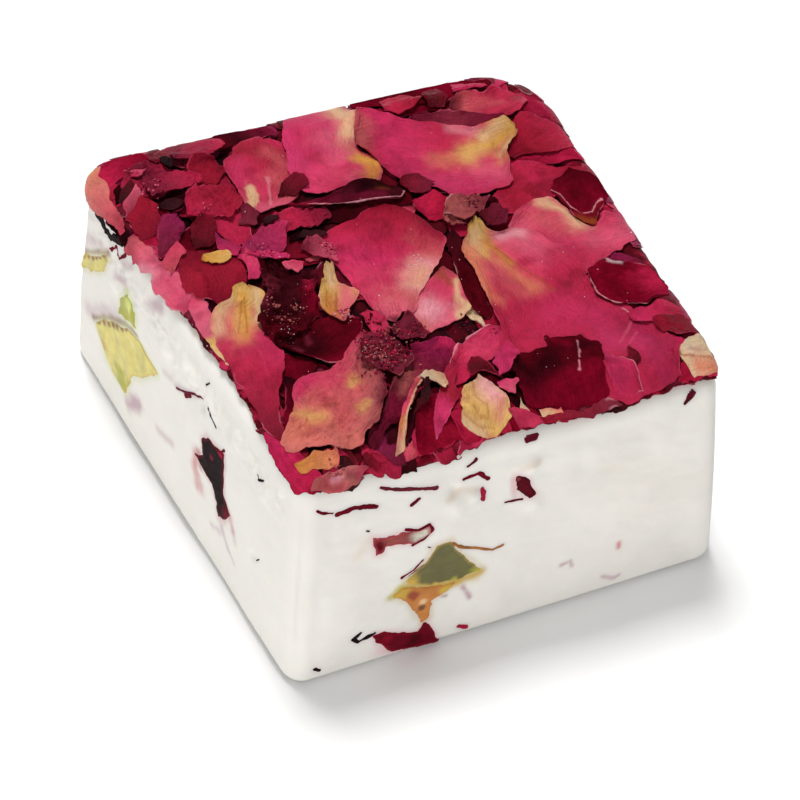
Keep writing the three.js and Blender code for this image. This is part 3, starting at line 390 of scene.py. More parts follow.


# The petals, lowest first. Each has its torn outline, from its base round by its tip, or the profile that
# the CAD source gives it: half widths on its left and right at five even stations, and at its two ends.
# ramp: colours along the petal, by their share of its length from its base.
# washes: soft colours on it, as colour, reach, strength, line. A few are painted highlights and painted
# shade, noted where they stand.
# marks: lines along which it rises, sinks or changes colour, as colour, half width, strength, height, line.
# The blush and pink marks are painted highlights along raised edges and folds, and the black marks painted
# shadow in sunk creases and slits.
# cup: how deep a cup it is, or how high a dome where that is below 0. soft: how far its outline is evened.
# rim: colour painted along its edge; where pale, a painted highlight of the edge catching the light.
# relief: height of its swells. crumple: height of its creases. ragged: how far its outline wanders. hangs:
# it hangs over the rim, where the knife didn't cut it.
PETALS = [
    petal("corner_salmon", "salmon", (-17.2, 17.6), (-17.7, 10.4), hangs=True, rim="pink",
          left=(0.5, 0.6, 0.4, 0.3, 0.4), right=(1.5, 1.5, 1.1, 0.7, 0.4), ends=(0.9, 0.2),
          ramp=[(0, "claw"), (0.12, "apricot"), (0.35, "salmon"), (0.65, "coral"), (1, "crimson")]),
    petal("left_wall_pink", "salmon", (-17.7, 10.0), (-17.5, 0.6), hangs=True, rim="blush", crumple=0.2,
          ragged=0.25,
          outline=[(-17.3, 9.8), (-18.1, 9.3), (-18.2, 7.6), (-18.3, 6.4), (-17.7, 5.6), (-18.1, 4.6),
              (-17.6, 3.6), (-17.9, 2.4), (-17.7, 1.6), (-17.2, 0.8), (-16.3, 1.0), (-16.0, 2.6),
              (-16.2, 3.8), (-16.4, 5.4), (-16.7, 7.0), (-16.7, 8.6)],
          ramp=[(0, "coral"), (0.3, "pink"), (0.7, "pink"), (1, "rose")],
          washes=[("blush", 0.4, 0.6, [(-18.0, 6.8), (-17.8, 5.6)]),
              ("rose", 0.5, 0.6, [(-17.2, 4.4), (-17.2, 2.6)])]),
    petal("left_wall_claw", "cream", (-16.6, 1.6), (-17.0, -5.8), hangs=True, rim="blush",
          outline=[(-16.3, 1.8), (-17.2, 1.2), (-17.3, -0.6), (-17.3, -2.0), (-17.3, -3.6), (-17.2, -5.2),
              (-17.0, -5.8), (-16.9, -5.2), (-16.8, -3.6), (-16.6, -2.2), (-16.3, -0.6), (-16.0, 0.4),
              (-16.1, 1.2)],
          ramp=[(0, "rose"), (0.2, "pink"), (0.5, "pink"), (0.62, "claw"), (1, "cream")]),
    petal("back_dark", "maroon", (3.4, 16.9), (14.8, 16.4),
          left=(0.8, 1.0, 1.0, 0.8, 0.6), right=(0.8, 1.2, 1.2, 1.2, 0.9), ends=(0.6, 0.5),
          ramp=[(0, "wine"), (0.4, "maroon"), (0.7, "wine"), (1, "maroon")]),
    petal("back_maroon", "maroon", (-8.2, 16.6), (-3.2, 16.6),
          left=(0.8, 1.0, 1.0, 0.8, 0.6), right=(0.6, 0.8, 0.9, 0.9, 0.6), ends=(0.5, 0.5),
          ramp=[(0, "maroon"), (0.5, "umber"), (1, "plum")]),
    petal("back_rose", "crimson", (-13.4, 16.0), (-7.2, 16.6),
          left=(0.8, 1.0, 1.1, 1.0, 0.7), right=(0.8, 1.3, 1.4, 1.2, 0.7), ends=(0.5, 0.5),
          ramp=[(0, "wine"), (0.5, "dusk"), (1, "crimson")]),
    petal("left_deep", "maroon", (-16.0, 5.9), (-11.1, 8.7),
          left=(0.9, 1.3, 1.4, 1.3, 1.0), right=(0.7, 1.1, 1.5, 1.6, 1.3), ends=(0.5, 0.7),
          ramp=[(0, "wine"), (0.5, "maroon"), (0.8, "umber"), (1, "umber")]),
    petal("back_left_red", "crimson", (-10.7, 5.5), (-10.0, 15.6),
          left=(1.3, 1.7, 2.0, 1.9, 1.5), right=(1.3, 1.7, 1.7, 1.6, 1.5), ends=(0.7, 0.9),
          ramp=[(0, "crimson"), (0.5, "crimson"), (0.75, "wine"), (1, "wine")]),
    petal("left_plum", "crimson", (-16.4, 13.4), (-11.4, 14.1), rim="rose", crumple=0.35,
          left=(1.6, 2.1, 2.2, 1.8, 1.2), right=(1.2, 1.3, 1.4, 1.6, 1.4), ends=(0.8, 0.8),
          ramp=[(0, "crimson"), (0.5, "plum"), (1, "crimson")],
          marks=[("black", 0.1, 0.7, -0.05, [(-13.4, 14.0), (-12.0, 13.0), (-10.6, 12.1)])]),
    petal("left_crimson", "crimson", (-14.7, -0.3), (-14.2, 6.2),
          left=(1.9, 2.1, 2.2, 2.1, 1.8), right=(1.3, 2.2, 2.3, 2.2, 1.7), ends=(1.3, 0.9),
          ramp=[(0, "wine"), (0.5, "red"), (1, "wine")]),
    petal("left_dark", "maroon", (-15.7, 12.1), (-16.0, 6.2),
          left=(1.1, 1.6, 1.7, 1.2, 0.7), right=(1.4, 1.4, 1.3, 1.1, 0.8), ends=(0.9, 0.4),
          ramp=[(0, "maroon"), (0.5, "wine"), (1, "crimson")],
          marks=[("black", 0.12, 0.8, -0.08, [(-16.9, 6.2), (-15.4, 7.3), (-14.0, 8.8)])]),
    petal("back_right_red", "crimson", (12.4, 8.4), (17.5, 10.2),
          left=(0.9, 1.6, 2.2, 2.3, 1.6), right=(0.8, 1.4, 1.9, 2.3, 2.0), ends=(0.5, 1.2),
          ramp=[(0, "wine"), (0.5, "red"), (1, "crimson")]),
    petal("back_right_coral", "salmon", (10.2, 14.4), (16.3, 13.5),
          left=(1.3, 1.4, 1.3, 2.1, 1.6), right=(1.0, 1.4, 1.8, 1.9, 1.6), ends=(0.8, 0.8),
          ramp=[(0, "dusk"), (0.2, "coral"), (0.45, "crimson"), (1, "crimson")],
          washes=[("coral", 0.5, 0.6, [(12.6, 14.6), (14.4, 14.0)])]),
    petal("back_plum", "maroon", (6.7, 14.4), (13.6, 11.8),
          left=(0.7, 1.1, 1.3, 1.1, 0.7), right=(0.6, 0.8, 0.9, 0.8, 0.6), ends=(0.4, 0.4),
          ramp=[(0, "plum"), (0.5, "dusk"), (1, "plum")]),
    petal("right_mid", "crimson", (17.3, 4.8), (8.5, 2.6), rim="rose",
          left=(0.9, 0.9, 1.0, 1.0, 1.0), right=(1.9, 3.1, 3.6, 2.8, 1.8), ends=(0.9, 0.7),
          ramp=[(0, "red"), (0.4, "crimson"), (0.7, "red"), (1, "crimson")]),
    petal("top_coral", "salmon", (-8.1, 8.5), (-5.1, 15.9),
          outline=[(-8.1, 8.5), (-8.7, 9.2), (-8.9, 10.4), (-8.6, 12.0), (-8.7, 13.4), (-8.2, 14.4),
              (-7.2, 14.9), (-6.9, 15.6), (-6.0, 16.1), (-4.8, 15.9), (-4.1, 14.8), (-3.4, 13.9),
              (-3.0, 12.9), (-3.4, 11.8), (-4.0, 10.6), (-4.4, 9.5), (-5.0, 9.0), (-6.4, 8.8), (-7.4, 8.5)],
          ramp=[(0, "pink"), (0.2, "rose"), (0.5, "crimson"), (0.8, "red"), (1, "crimson")],
          washes=[("magenta", 1.0, 0.8, [(-8.4, 11.4), (-7.6, 13.4)]),
              ("pink", 0.7, 0.8, [(-7.4, 8.9), (-5.6, 9.1)]),
              ("coral", 0.7, 0.8, [(-5.2, 9.8), (-5.4, 11.4)]),
              ("coral", 0.7, 0.7, [(-4.0, 12.2), (-4.8, 14.2)])],
          marks=[("cream", 0.42, 0.9, 0.04, [(-8.7, 8.9), (-8.0, 9.8), (-7.5, 11.2)]),
              ("blush", 0.12, 0.4, 0.05, [(-6.0, 11.6), (-6.4, 10.2), (-6.8, 9.2)])]),
    petal("top_pink", "magenta", (1.9, 8.8), (-0.6, 18.0),
          outline=[(1.6, 8.5), (0.7, 8.5), (-0.4, 8.8), (-1.7, 8.8), (-2.9, 8.9), (-3.8, 9.4), (-4.4, 10.4),
              (-4.3, 11.6), (-3.9, 12.7), (-3.3, 13.8), (-3.1, 15.2), (-2.5, 16.6), (-1.6, 17.6),
              (-0.3, 18.0), (1.2, 18.0), (3.2, 17.6), (3.0, 15.8), (2.3, 14.2), (1.6, 12.7), (2.1, 11.6),
              (2.6, 10.5), (2.4, 9.3)],
          ramp=[(0, "amber"), (0.05, "pink"), (0.2, "rose"), (0.6, "fuchsia"), (1, "magenta")],
          washes=[("crimson", 1.2, 0.5, [(-1.8, 12.6), (-1.4, 15.4)]),
              ("pink", 1.4, 0.6, [(0.2, 14.6), (0.4, 12.6)]),
              ("cream", 0.75, 0.85, [(2.2, 17.4), (2.3, 15.6), (1.8, 14.2)]),
              ("dusty", 0.5, 0.6, [(1.4, 13.0), (1.0, 12.4)]),
              ("yellow", 0.6, 0.95, [(1.4, 11.2), (2.1, 10.3)]),
              ("amber", 0.5, 0.95, [(1.9, 9.7), (1.2, 8.9)])]),
    petal("mid_rose", "crimson", (-9.1, 6.4), (-3.1, 6.9), crumple=0.3,
          left=(0.9, 1.3, 1.5, 1.5, 1.2), right=(0.8, 1.1, 1.2, 1.2, 0.9), ends=(0.5, 0.7),
          ramp=[(0, "plum"), (0.5, "crimson"), (1, "plum")]),
    petal("left_magenta", "magenta", (-12.1, 3.5), (-7.0, 6.7), rim="fuchsia", crumple=0.2,
          left=(0.7, 0.9, 1.0, 0.9, 0.6), right=(0.7, 1.1, 1.5, 1.5, 0.9), ends=(0.3, 0.5),
          ramp=[(0, "magenta"), (0.4, "violet"), (1, "magenta")]),
    petal("second", "magenta", (14.0, 10.6), (2.0, 10.2), cup=0.3,
          outline=[(14.1, 10.5), (13.9, 9.9), (13.2, 9.4), (12.6, 8.9), (12.0, 8.3), (12.1, 7.2),
              (11.7, 6.2), (11.2, 5.1), (10.2, 5.0), (8.8, 5.2), (7.6, 5.0), (6.2, 4.6), (5.6, 5.8),
              (4.8, 6.9), (4.2, 7.8), (3.0, 8.6), (2.5, 9.3), (2.6, 10.4), (2.2, 11.5), (1.6, 12.6),
              (2.2, 14.2), (3.0, 16.2), (4.4, 15.8), (5.6, 15.0), (6.9, 14.2), (8.1, 13.4), (9.6, 12.7),
              (11.2, 12.0), (12.6, 11.8), (13.6, 11.6)],
          ramp=[(0, "claw"), (0.25, "rose"), (0.45, "crimson"), (0.8, "magenta"), (1, "crimson")],
          washes=[("fuchsia", 1.6, 0.6, [(6.0, 6.6), (9.6, 6.4)]),
              ("pink", 1.2, 0.6, [(10.0, 7.8), (11.4, 6.8)]),
              ("apricot", 0.9, 0.6, [(7.2, 9.6), (9.4, 9.4)]),
              # Painted highlight: the blush wash near the top edge.
              ("blush", 0.5, 0.4, [(9.4, 12.4), (11.2, 11.6)]),
              ("claw", 0.95, 0.9, [(9.8, 9.9), (11.2, 10.2), (13.6, 10.9)]),
              ("yellow", 0.3, 0.6, [(11.8, 10.1), (13.4, 10.6)]),
              ("cream", 0.4, 0.7, [(11.6, 11.2), (13.2, 11.4)]),
              ("dusty", 0.9, 0.6, [(2.0, 12.4), (2.8, 15.0)]),
              ("cream", 0.35, 0.8, [(12.0, 8.8), (13.0, 9.3)])]),
    petal("thin_dark", "maroon", (4.6, 2.0), (2.9, -7.3), rim="blush", crumple=0.1,
          outline=[(4.7, 2.1), (3.9, 1.7), (3.6, 0.6), (3.1, -1.0), (2.7, -2.8), (1.8, -4.2), (1.8, -4.9),
              (2.3, -5.8), (2.5, -6.9), (3.0, -7.4), (3.6, -7.1), (3.9, -5.9), (4.2, -4.2), (4.4, -2.2),
              (4.5, -0.4), (5.0, 1.1)],
          ramp=[(0, "umber"), (0.6, "maroon"), (1, "maroon")]),
    petal("mid_brown", "maroon", (4.4, 2.8), (9.1, 3.4), rim="blush", crumple=0.35,
          left=(0.9, 1.4, 1.5, 1.2, 0.8), right=(0.7, 0.9, 1.4, 1.7, 1.2), ends=(0.5, 0.5),
          ramp=[(0, "dusty"), (0.4, "plum"), (1, "umber")]),
    petal("centre_tip", "salmon", (2.2, -1.9), (-1.9, -7.3),
          outline=[(2.1, -1.9), (1.1, -2.3), (0.1, -2.9), (-1.2, -3.4), (-2.3, -3.9), (-2.8, -4.8),
              (-2.9, -5.8), (-2.5, -6.6), (-1.8, -7.2), (-0.7, -7.1), (0.3, -6.7), (1.2, -6.7), (2.2, -6.3),
              (2.3, -4.4), (2.4, -3.0)],
          ramp=[(0, "coral"), (0.3, "rose"), (1, "pink")],
          washes=[("blush", 1.0, 0.85, [(-1.3, -5.4), (-0.6, -5.0)]),
              ("salmon", 0.6, 0.8, [(-2.2, -6.2), (-2.0, -6.8)]),
              ("rust", 0.4, 0.6, [(1.5, -2.2), (1.7, -3.6)]),
              ("cream", 0.35, 0.9, [(1.2, -6.4), (2.1, -6.1)]),
              ("cream", 0.25, 0.8, [(2.2, -3.6), (1.7, -5.0), (2.0, -6.0)])]),
    petal("front_purple", "maroon", (-0.8, -8.8), (-11.5, -16.6), rim="dusty", crumple=0.3,
          left=(1.2, 1.0, 0.8, 0.8, 0.6), right=(1.0, 1.6, 1.4, 1.0, 0.7), ends=(0.7, 0.4),
          ramp=[(0, "magenta"), (0.2, "plum"), (0.45, "dusk"), (0.7, "plum"), (1, "umber")],
          washes=[("dusty", 0.5, 0.6, [(-5.6, -11.0), (-7.2, -13.2)]),
              ("violet", 0.9, 0.5, [(-3.4, -9.8), (-2.2, -10.2)]),
              ("umber", 0.5, 0.6, [(-6.6, -11.6), (-7.6, -12.8)])],
          marks=[("black", 0.12, 0.7, -0.05, [(-7.4, -11.6), (-8.8, -13.6), (-10.6, -15.6),
              (-12.0, -16.4)]), ("blush", 0.06, 0.6, 0.06, [(-5.6, -12.4), (-8.0, -15.3), (-9.4, -16.6),
              (-11.4, -17.0)])]),
    petal("front_red", "crimson", (3.7, -8.4), (-3.4, -12.9), rim="blush",
          outline=[(3.7, -8.6), (3.4, -8.0), (1.8, -8.2), (0.6, -8.5), (-0.3, -9.2), (-1.3, -10.2),
              (-2.2, -11.3), (-3.2, -12.3), (-3.5, -13.1), (-2.7, -13.1), (-1.6, -12.8), (-0.4, -12.4),
              (0.7, -11.9), (1.8, -11.1), (2.8, -10.4), (3.4, -9.6)],
          ramp=[(0, "magenta"), (0.4, "rose"), (0.7, "crimson"), (1, "crimson")],
          marks=[("blush", 0.08, 0.7, 0.06, [(3.3, -7.9), (1.6, -8.3), (0.2, -8.8), (-1.0, -9.9),
              (-2.2, -11.2), (-2.8, -12.6)])]),
    petal("corner_cream", "cream", (17.5, -15.2), (15.0, -15.4),
          outline=[(17.6, -13.4), (16.6, -14.1), (15.9, -14.8), (14.9, -15.5), (15.3, -15.8), (15.8, -16.0),
              (15.6, -16.6), (15.5, -17.2), (16.4, -17.3), (17.6, -17.0)],
          ramp=[(0, "cream"), (0.6, "bone"), (1, "cream")],
          washes=[("apricot", 0.8, 0.9, [(17.2, -16.8), (16.4, -16.7)])],
          marks=[("rust", 0.07, 0.7, -0.06, [(15.0, -15.7), (16.2, -16.1), (17.4, -16.2)])]),
    petal("right_salmon", "salmon", (7.5, -1.4), (17.5, -1.7), cup=-0.2, rim="pink",
          outline=[(8.0, -1.0), (8.2, -2.6), (9.2, -4.6), (10.2, -5.8), (11.6, -5.9), (13.2, -5.3),
              (14.8, -4.4), (16.4, -3.9), (17.4, -3.2), (17.9, -1.8), (17.6, -0.5), (16.7, 0.4),
              (16.0, -0.3), (15.2, -0.6), (14.5, -0.1), (14.3, 1.2), (13.9, 2.5), (13.4, 3.1), (12.4, 3.1),
              (11.2, 2.7), (9.9, 1.9), (8.8, 0.9)],
          ramp=[(0, "rose"), (0.4, "rose"), (1, "rose")],
          washes=[("coral", 1.3, 0.8, [(11.6, 1.0), (12.6, -0.4)]),
              ("crimson", 1.8, 0.85, [(10.4, -3.2), (13.0, -4.0)]),
              ("magenta", 1.2, 0.7, [(10.2, -1.0), (11.4, -2.4)]),
              ("cream", 0.6, 0.75, [(12.6, 2.6), (13.8, 1.4), (14.2, -0.6)]),
              ("pink", 0.8, 0.7, [(9.0, 1.0), (10.0, 0.6)]),
              ("pink", 0.9, 0.6, [(14.6, -2.4), (16.4, -2.6)])],
          marks=[("sugar", 0.12, 0.5, 0.05, [(10.7, -2.6), (10.8, -3.4)])]),
    petal("right_dark", "maroon", (15.6, 4.1), (15.6, -0.4),
          outline=[(15.8, 5.2), (14.6, 4.7), (13.8, 3.7), (14.2, 2.6), (14.3, 1.3), (14.2, 0.3),
              (14.7, -0.5), (15.3, -0.9), (16.0, -0.2), (16.6, 0.7), (17.3, 1.7), (17.8, 3.0), (17.8, 4.6),
              (16.8, 5.3)],
          ramp=[(0, "maroon"), (0.7, "wine"), (1, "maroon")],
          washes=[("rust", 0.7, 0.9, [(15.0, -0.2), (15.4, -0.3)])],
          marks=[("blush", 0.05, 0.7, 0.06, [(13.8, 3.8), (14.4, 2.9), (14.6, 1.6), (15.0, 0.9),
              (16.0, 0.75), (17.0, 1.7)])]),
    petal("fan", "magenta", (6.6, 2.6), (11.9, -16.8), cup=0.25, relief=0.25,
          outline=[(6.7, 2.6), (6.1, 2.0), (5.4, 1.0), (4.8, 0.4), (4.2, -0.4), (4.1, -1.4), (4.2, -2.6),
              (3.9, -4.4), (3.7, -6.4), (3.5, -8.2), (2.7, -10.0), (2.1, -11.6), (2.0, -13.6), (4.0, -16.0),
              (7.0, -17.3), (9.4, -17.5), (12.4, -17.5), (14.6, -17.0), (15.5, -15.2), (15.2, -13.2),
              (14.8, -11.4), (13.8, -9.6), (12.6, -8.0), (12.0, -6.4), (12.3, -4.6), (12.0, -3.0),
              (11.2, -1.4), (10.3, 0.0), (9.2, 0.8), (7.8, 0.8), (7.1, 1.2), (7.0, 2.3)],
          ramp=[(0, "claw"), (0.1, "coral"), (0.26, "rose"), (0.42, "crimson"), (1, "crimson")],
          washes=[("crimson", 1.6, 0.6, [(4.9, -6.0), (5.4, -8.6)]),
              ("magenta", 1.7, 0.7, [(8.0, -8.4), (11.0, -9.6)]),
              ("violet", 2.0, 0.5, [(13.2, -12.0), (13.5, -15.0)]),
              ("fuchsia", 1.2, 0.5, [(10.4, -12.4), (12.4, -13.6)]),
              ("crimson", 1.2, 0.6, [(3.0, -12.4), (2.8, -10.4)]),
              ("coral", 1.1, 0.6, [(5.8, -2.8), (6.6, -5.2)]),
              ("pink", 1.2, 0.7, [(8.4, -0.6), (9.8, -1.8)]),
              ("apricot", 0.6, 0.7, [(6.6, -2.0), (7.3, -3.8), (7.8, -5.4)]),
              ("claw", 0.95, 0.95, [(6.7, 1.8), (6.3, 0.4), (5.8, -0.8)]),
              ("cream", 0.5, 0.8, [(6.2, 1.2), (5.4, -0.2), (5.0, -1.0)]),
              ("amber", 0.45, 0.8, [(6.8, 0.0), (7.1, -1.4), (7.4, -2.4)]),
              ("apricot", 0.9, 0.9, [(4.8, -0.8), (4.4, -2.4), (4.1, -4.0), (3.9, -5.2)]),
              ("blush", 0.6, 0.8, [(7.8, 0.3), (9.2, 0.2)]),
              ("rust", 0.1, 0.6, [(7.1, -0.6), (7.8, -2.8), (8.7, -5.0), (9.1, -6.6)])],
          marks=[("blush", 0.06, 0.65, 0.06, [(13.3, -9.8), (14.2, -11.3)]),
              ("pink", 0.08, 0.5, 0.05, [(11.4, -13.0), (12.6, -12.0), (13.6, -10.9)]),
              ("pink", 0.07, 0.5, 0.04, [(12.0, -13.4), (13.2, -12.4)]),
              ("blush", 0.06, 0.7, 0.06, [(9.8, -13.8), (10.6, -14.7), (11.4, -15.4)])]),
    petal("right_edge", "crimson", (17.4, -11.2), (13.3, -10.8),
          left=(1.0, 1.1, 1.1, 1.0, 0.7), right=(1.1, 1.1, 1.0, 0.9, 0.7), ends=(0.9, 0.4),
          ramp=[(0, "crimson"), (1, "magenta")]),
    petal("right_maroon", "maroon", (17.4, -7.3), (11.7, -7.4), rim="blush",
          outline=[(17.5, -7.3), (17.3, -6.0), (16.4, -5.6), (15.4, -5.2), (14.4, -4.8), (13.4, -5.0),
              (12.7, -5.4), (12.1, -5.9), (11.9, -6.8), (11.9, -7.8), (12.3, -8.7), (13.0, -9.3),
              (13.9, -9.8), (14.9, -10.0), (16.2, -9.9), (17.4, -9.3)],
          ramp=[(0, "crimson"), (0.4, "wine"), (1, "wine")],
          # Painted light: the blush mark is a painted highlight along the edge, the black mark painted
          # shadow in a crease, and the sugar mark a painted highlight spot.
          marks=[("blush", 0.055, 0.7, 0.06, [(12.2, -5.6), (12.0, -6.8), (12.0, -8.0), (12.6, -8.9),
              (13.3, -9.5)]), ("black", 0.14, 0.75, -0.06, [(14.0, -9.7), (15.4, -9.8), (17.4, -9.4)]),
              ("sugar", 0.2, 0.4, 0.05, [(14.7, -4.9), (15.4, -5.2)])]),
    petal("fold_pale", "cream", (-3.3, -11.4), (-9.5, -16.9), rim="cream",
          outline=[(-4.9, -12.0), (-5.6, -12.2), (-6.6, -13.2), (-7.6, -14.3), (-8.4, -15.2), (-8.9, -15.9),
              (-9.4, -16.6), (-9.9, -17.2), (-9.2, -17.1), (-8.7, -16.5), (-8.2, -15.7), (-7.5, -14.9),
              (-6.5, -13.8), (-5.4, -12.8)],
          ramp=[(0, "bone"), (0.12, "coral"), (0.5, "rose"), (0.8, "coral"), (1, "cream")],
          washes=[("amber", 0.25, 0.7, [(-8.4, -15.6), (-8.7, -16.0)])],
          marks=[("cream", 0.08, 0.8, 0.08, [(-5.2, -12.6), (-6.6, -13.9), (-8.2, -15.7), (-9.2, -17.0)])]),
    petal("fold_magenta", "magenta", (-2.0, -11.5), (-6.0, -16.7), rim="blush",
          outline=[(-2.1, -11.3), (-3.0, -12.0), (-4.2, -13.3), (-5.2, -14.5), (-5.9, -15.8), (-6.4, -16.9),
              (-5.6, -16.6), (-4.4, -15.7), (-3.9, -15.0), (-2.9, -14.1), (-2.7, -13.2), (-2.1, -12.0)],
          ramp=[(0, "crimson"), (0.4, "red"), (0.6, "magenta"), (1, "fuchsia")]),
    petal("flat_dark", "maroon", (5.6, -16.7), (6.6, -10.0), rim="maroon", crumple=0.1, ragged=0.2,
          outline=[(5.6, -17.3), (4.0, -17.3), (2.1, -17.2), (1.7, -16.2), (1.5, -15.2), (1.7, -13.9),
              (1.9, -12.6), (2.6, -12.2), (3.2, -12.5), (4.1, -11.7), (5.0, -12.0), (5.9, -11.5),
              (6.0, -10.7), (6.6, -10.1), (7.1, -10.8), (8.0, -10.9), (8.5, -11.5), (9.1, -11.2),
              (9.4, -12.2), (9.9, -13.0), (9.4, -13.9), (9.0, -14.9), (8.4, -16.0), (8.4, -17.1),
              (7.0, -17.3)],
          ramp=[(0, "wine"), (0.3, "wine"), (0.55, "maroon"), (1, "maroon")],
          washes=[("black", 1.3, 0.8, [(2.4, -13.2), (3.0, -14.6), (5.4, -13.0)]),
              ("black", 0.7, 0.6, [(7.0, -11.6), (9.0, -12.4)]),
              ("wine", 1.2, 0.8, [(5.0, -16.2), (7.6, -15.4)]),
              ("wine", 0.5, 0.7, [(6.6, -10.8), (7.6, -11.8)])],
          # Painted highlight: the thin blush line along a crinkle.
          marks=[("blush", 0.05, 0.65, 0.06, [(8.4, -11.7), (7.9, -13.0), (7.4, -13.9), (6.8, -15.0)])]),
    petal("front_cream", "cream", (-0.4, -12.6), (-2.2, -17.3), cup=-0.3, relief=0.3, crumple=0.12,
          outline=[(-0.6, -12.8), (-1.9, -13.2), (-2.6, -13.8), (-2.9, -14.5), (-3.5, -15.2), (-3.5, -15.8),
              (-4.2, -16.6), (-3.4, -17.2), (-2.5, -17.6), (-1.6, -17.5), (-0.8, -17.2), (0.0, -16.8),
              (0.3, -15.9), (0.3, -15.0), (0.2, -14.2), (0.0, -13.5)],
          ramp=[(0, "cream"), (0.3, "cream"), (0.8, "claw"), (1, "apricot")],
          washes=[("claw", 0.7, 0.8, [(-2.2, -13.6), (-2.3, -15.2), (-1.8, -16.6)]),
              ("blush", 0.6, 0.8, [(-0.5, -13.6), (-0.4, -15.4)]),
              ("salmon", 0.4, 0.6, [(-0.3, -16.0), (-0.9, -16.6)]),
              ("cream", 0.45, 0.9, [(-3.7, -16.6), (-2.8, -17.3)])],
          marks=[("tan", 0.1, 0.6, -0.06, [(-2.7, -15.8), (-2.4, -16.5), (-1.7, -16.6), (-1.4, -15.6),
              (-1.7, -14.2), (-1.2, -13.2)]),
              ("tan", 0.08, 0.6, -0.05, [(-3.6, -16.2), (-2.7, -16.9), (-1.7, -17.1)])]),
    petal("left_long", "magenta", (-12.7, 1.9), (-17.0, -13.8), cup=0.2, relief=0.2,
          outline=[(-12.9, 1.0), (-13.8, 0.9), (-14.2, 0.3), (-14.7, -0.2), (-15.7, -0.2), (-16.6, -0.8),
              (-16.9, -2.4), (-17.0, -5.0), (-17.2, -8.0), (-17.4, -11.0), (-17.5, -12.6), (-17.1, -13.4),
              (-16.7, -12.9), (-16.2, -11.4), (-15.4, -9.8), (-14.3, -8.3), (-13.6, -6.8), (-13.4, -5.4),
              (-13.6, -3.8), (-13.2, -2.9), (-12.7, -2.0), (-12.1, -1.2), (-11.6, -0.6), (-11.8, 0.3),
              (-12.2, 0.9)],
          ramp=[(0, "claw"), (0.1, "claw"), (0.17, "coral"), (0.3, "rose"), (0.5, "crimson"), (1, "wine")],
          washes=[("cream", 0.7, 0.7, [(-15.8, -0.9), (-16.4, -2.2)]),
              ("apricot", 0.8, 0.7, [(-14.8, -2.2), (-15.2, -3.8)]),
              ("claw", 0.9, 0.9, [(-13.0, 0.6), (-13.8, -1.0), (-14.6, -2.4)]),
              ("yellow", 0.3, 0.8, [(-13.5, 0.2), (-14.0, -1.6), (-14.9, -3.4)]),
              ("cream", 0.4, 0.9, [(-12.2, 0.4), (-12.6, -0.8), (-13.2, -2.2)]),
              ("cream", 0.35, 0.7, [(-14.6, 0.0), (-15.4, -0.6)]),
              ("magenta", 1.0, 0.6, [(-13.8, -3.6), (-14.2, -7.0)])],
          marks=[("rust", 0.06, 0.5, -0.04, [(-13.4, 0.0), (-13.9, -1.4), (-14.6, -3.0)]),
              ("rust", 0.06, 0.5, -0.04, [(-13.8, -0.4), (-14.6, -1.8), (-15.2, -2.8)])]),
    petal("dark_cup", "maroon", (-13.4, -6.1), (-6.1, -4.5), cup=0.5, rim="rose",
          outline=[(-13.4, -6.1), (-12.8, -7.0), (-12.0, -7.6), (-11.0, -8.3), (-9.8, -8.5), (-8.6, -8.0),
              (-7.8, -7.3), (-7.0, -6.2), (-6.4, -5.2), (-6.1, -4.5), (-6.7, -4.0), (-7.7, -3.8),
              (-9.4, -3.8), (-11.0, -3.6), (-12.0, -4.0), (-12.9, -4.8), (-13.4, -5.3)],
          ramp=[(0, "maroon"), (0.5, "maroon"), (1, "wine")],
          # Painted shadow: the black wash deep inside the cup.
          washes=[("black", 1.3, 0.8, [(-11.6, -6.4), (-10.4, -5.8)]),
              ("maroon", 1.4, 0.6, [(-8.4, -5.6), (-7.6, -5.0)]),
              ("wine", 0.5, 0.85, [(-12.9, -7.2), (-11.2, -8.0), (-9.2, -8.0)]),
              ("dusk", 0.25, 0.6, [(-12.6, -4.8), (-11.8, -6.0)]),
              ("dusk", 0.2, 0.6, [(-10.6, -4.2), (-10.8, -5.4)])],
          marks=[("blush", 0.06, 0.5, 0.04, [(-13.2, -7.0), (-12.0, -7.7), (-10.8, -8.3), (-9.6, -8.4)])]),
    petal("dark_rough", "maroon", (-9.0, 3.0), (-11.4, -4.3), cup=-0.3, rim="dusk", relief=0.3, crumple=0.5,
          ragged=0.25,
          outline=[(-9.6, 3.0), (-8.6, 1.8), (-7.4, 0.8), (-7.3, 0.1), (-8.1, -0.9), (-8.7, -2.2),
              (-8.9, -3.4), (-9.8, -4.3), (-11.0, -4.6), (-12.2, -5.2), (-13.2, -5.0), (-13.6, -3.6),
              (-13.2, -2.4), (-12.4, -1.0), (-11.7, 0.2), (-11.4, 1.4), (-10.9, 2.6)],
          ramp=[(0, "umber"), (0.5, "umber"), (1, "maroon")],
          washes=[("wine", 0.7, 0.9, [(-8.4, -0.8), (-9.0, -2.8)]),
              ("dusk", 0.5, 0.6, [(-12.4, -1.0), (-11.0, 0.6)]),
              ("crimson", 0.35, 0.6, [(-8.0, 0.2), (-8.4, -0.6)])]),
    petal("front_lip", "salmon", (-11.7, -16.9), (-16.9, -16.7), hangs=True, relief=0.05, crumple=0.35,
          outline=[(-12.2, -17.4), (-13.6, -17.1), (-15.2, -17.1), (-16.8, -17.4), (-17.2, -17.8),
              (-16.2, -18.1), (-14.6, -18.2), (-13.2, -18.0)],
          ramp=[(0, "plum"), (0.3, "dusty"), (0.6, "coral"), (1, "dusty")],
          washes=[("dusk", 0.3, 0.7, [(-14.0, -17.5), (-13.2, -17.7)]),
              ("rose", 0.4, 0.6, [(-13.0, -17.6), (-12.4, -17.6)]),
              ("blush", 0.25, 0.6, [(-15.4, -17.6), (-14.6, -17.5)])]),
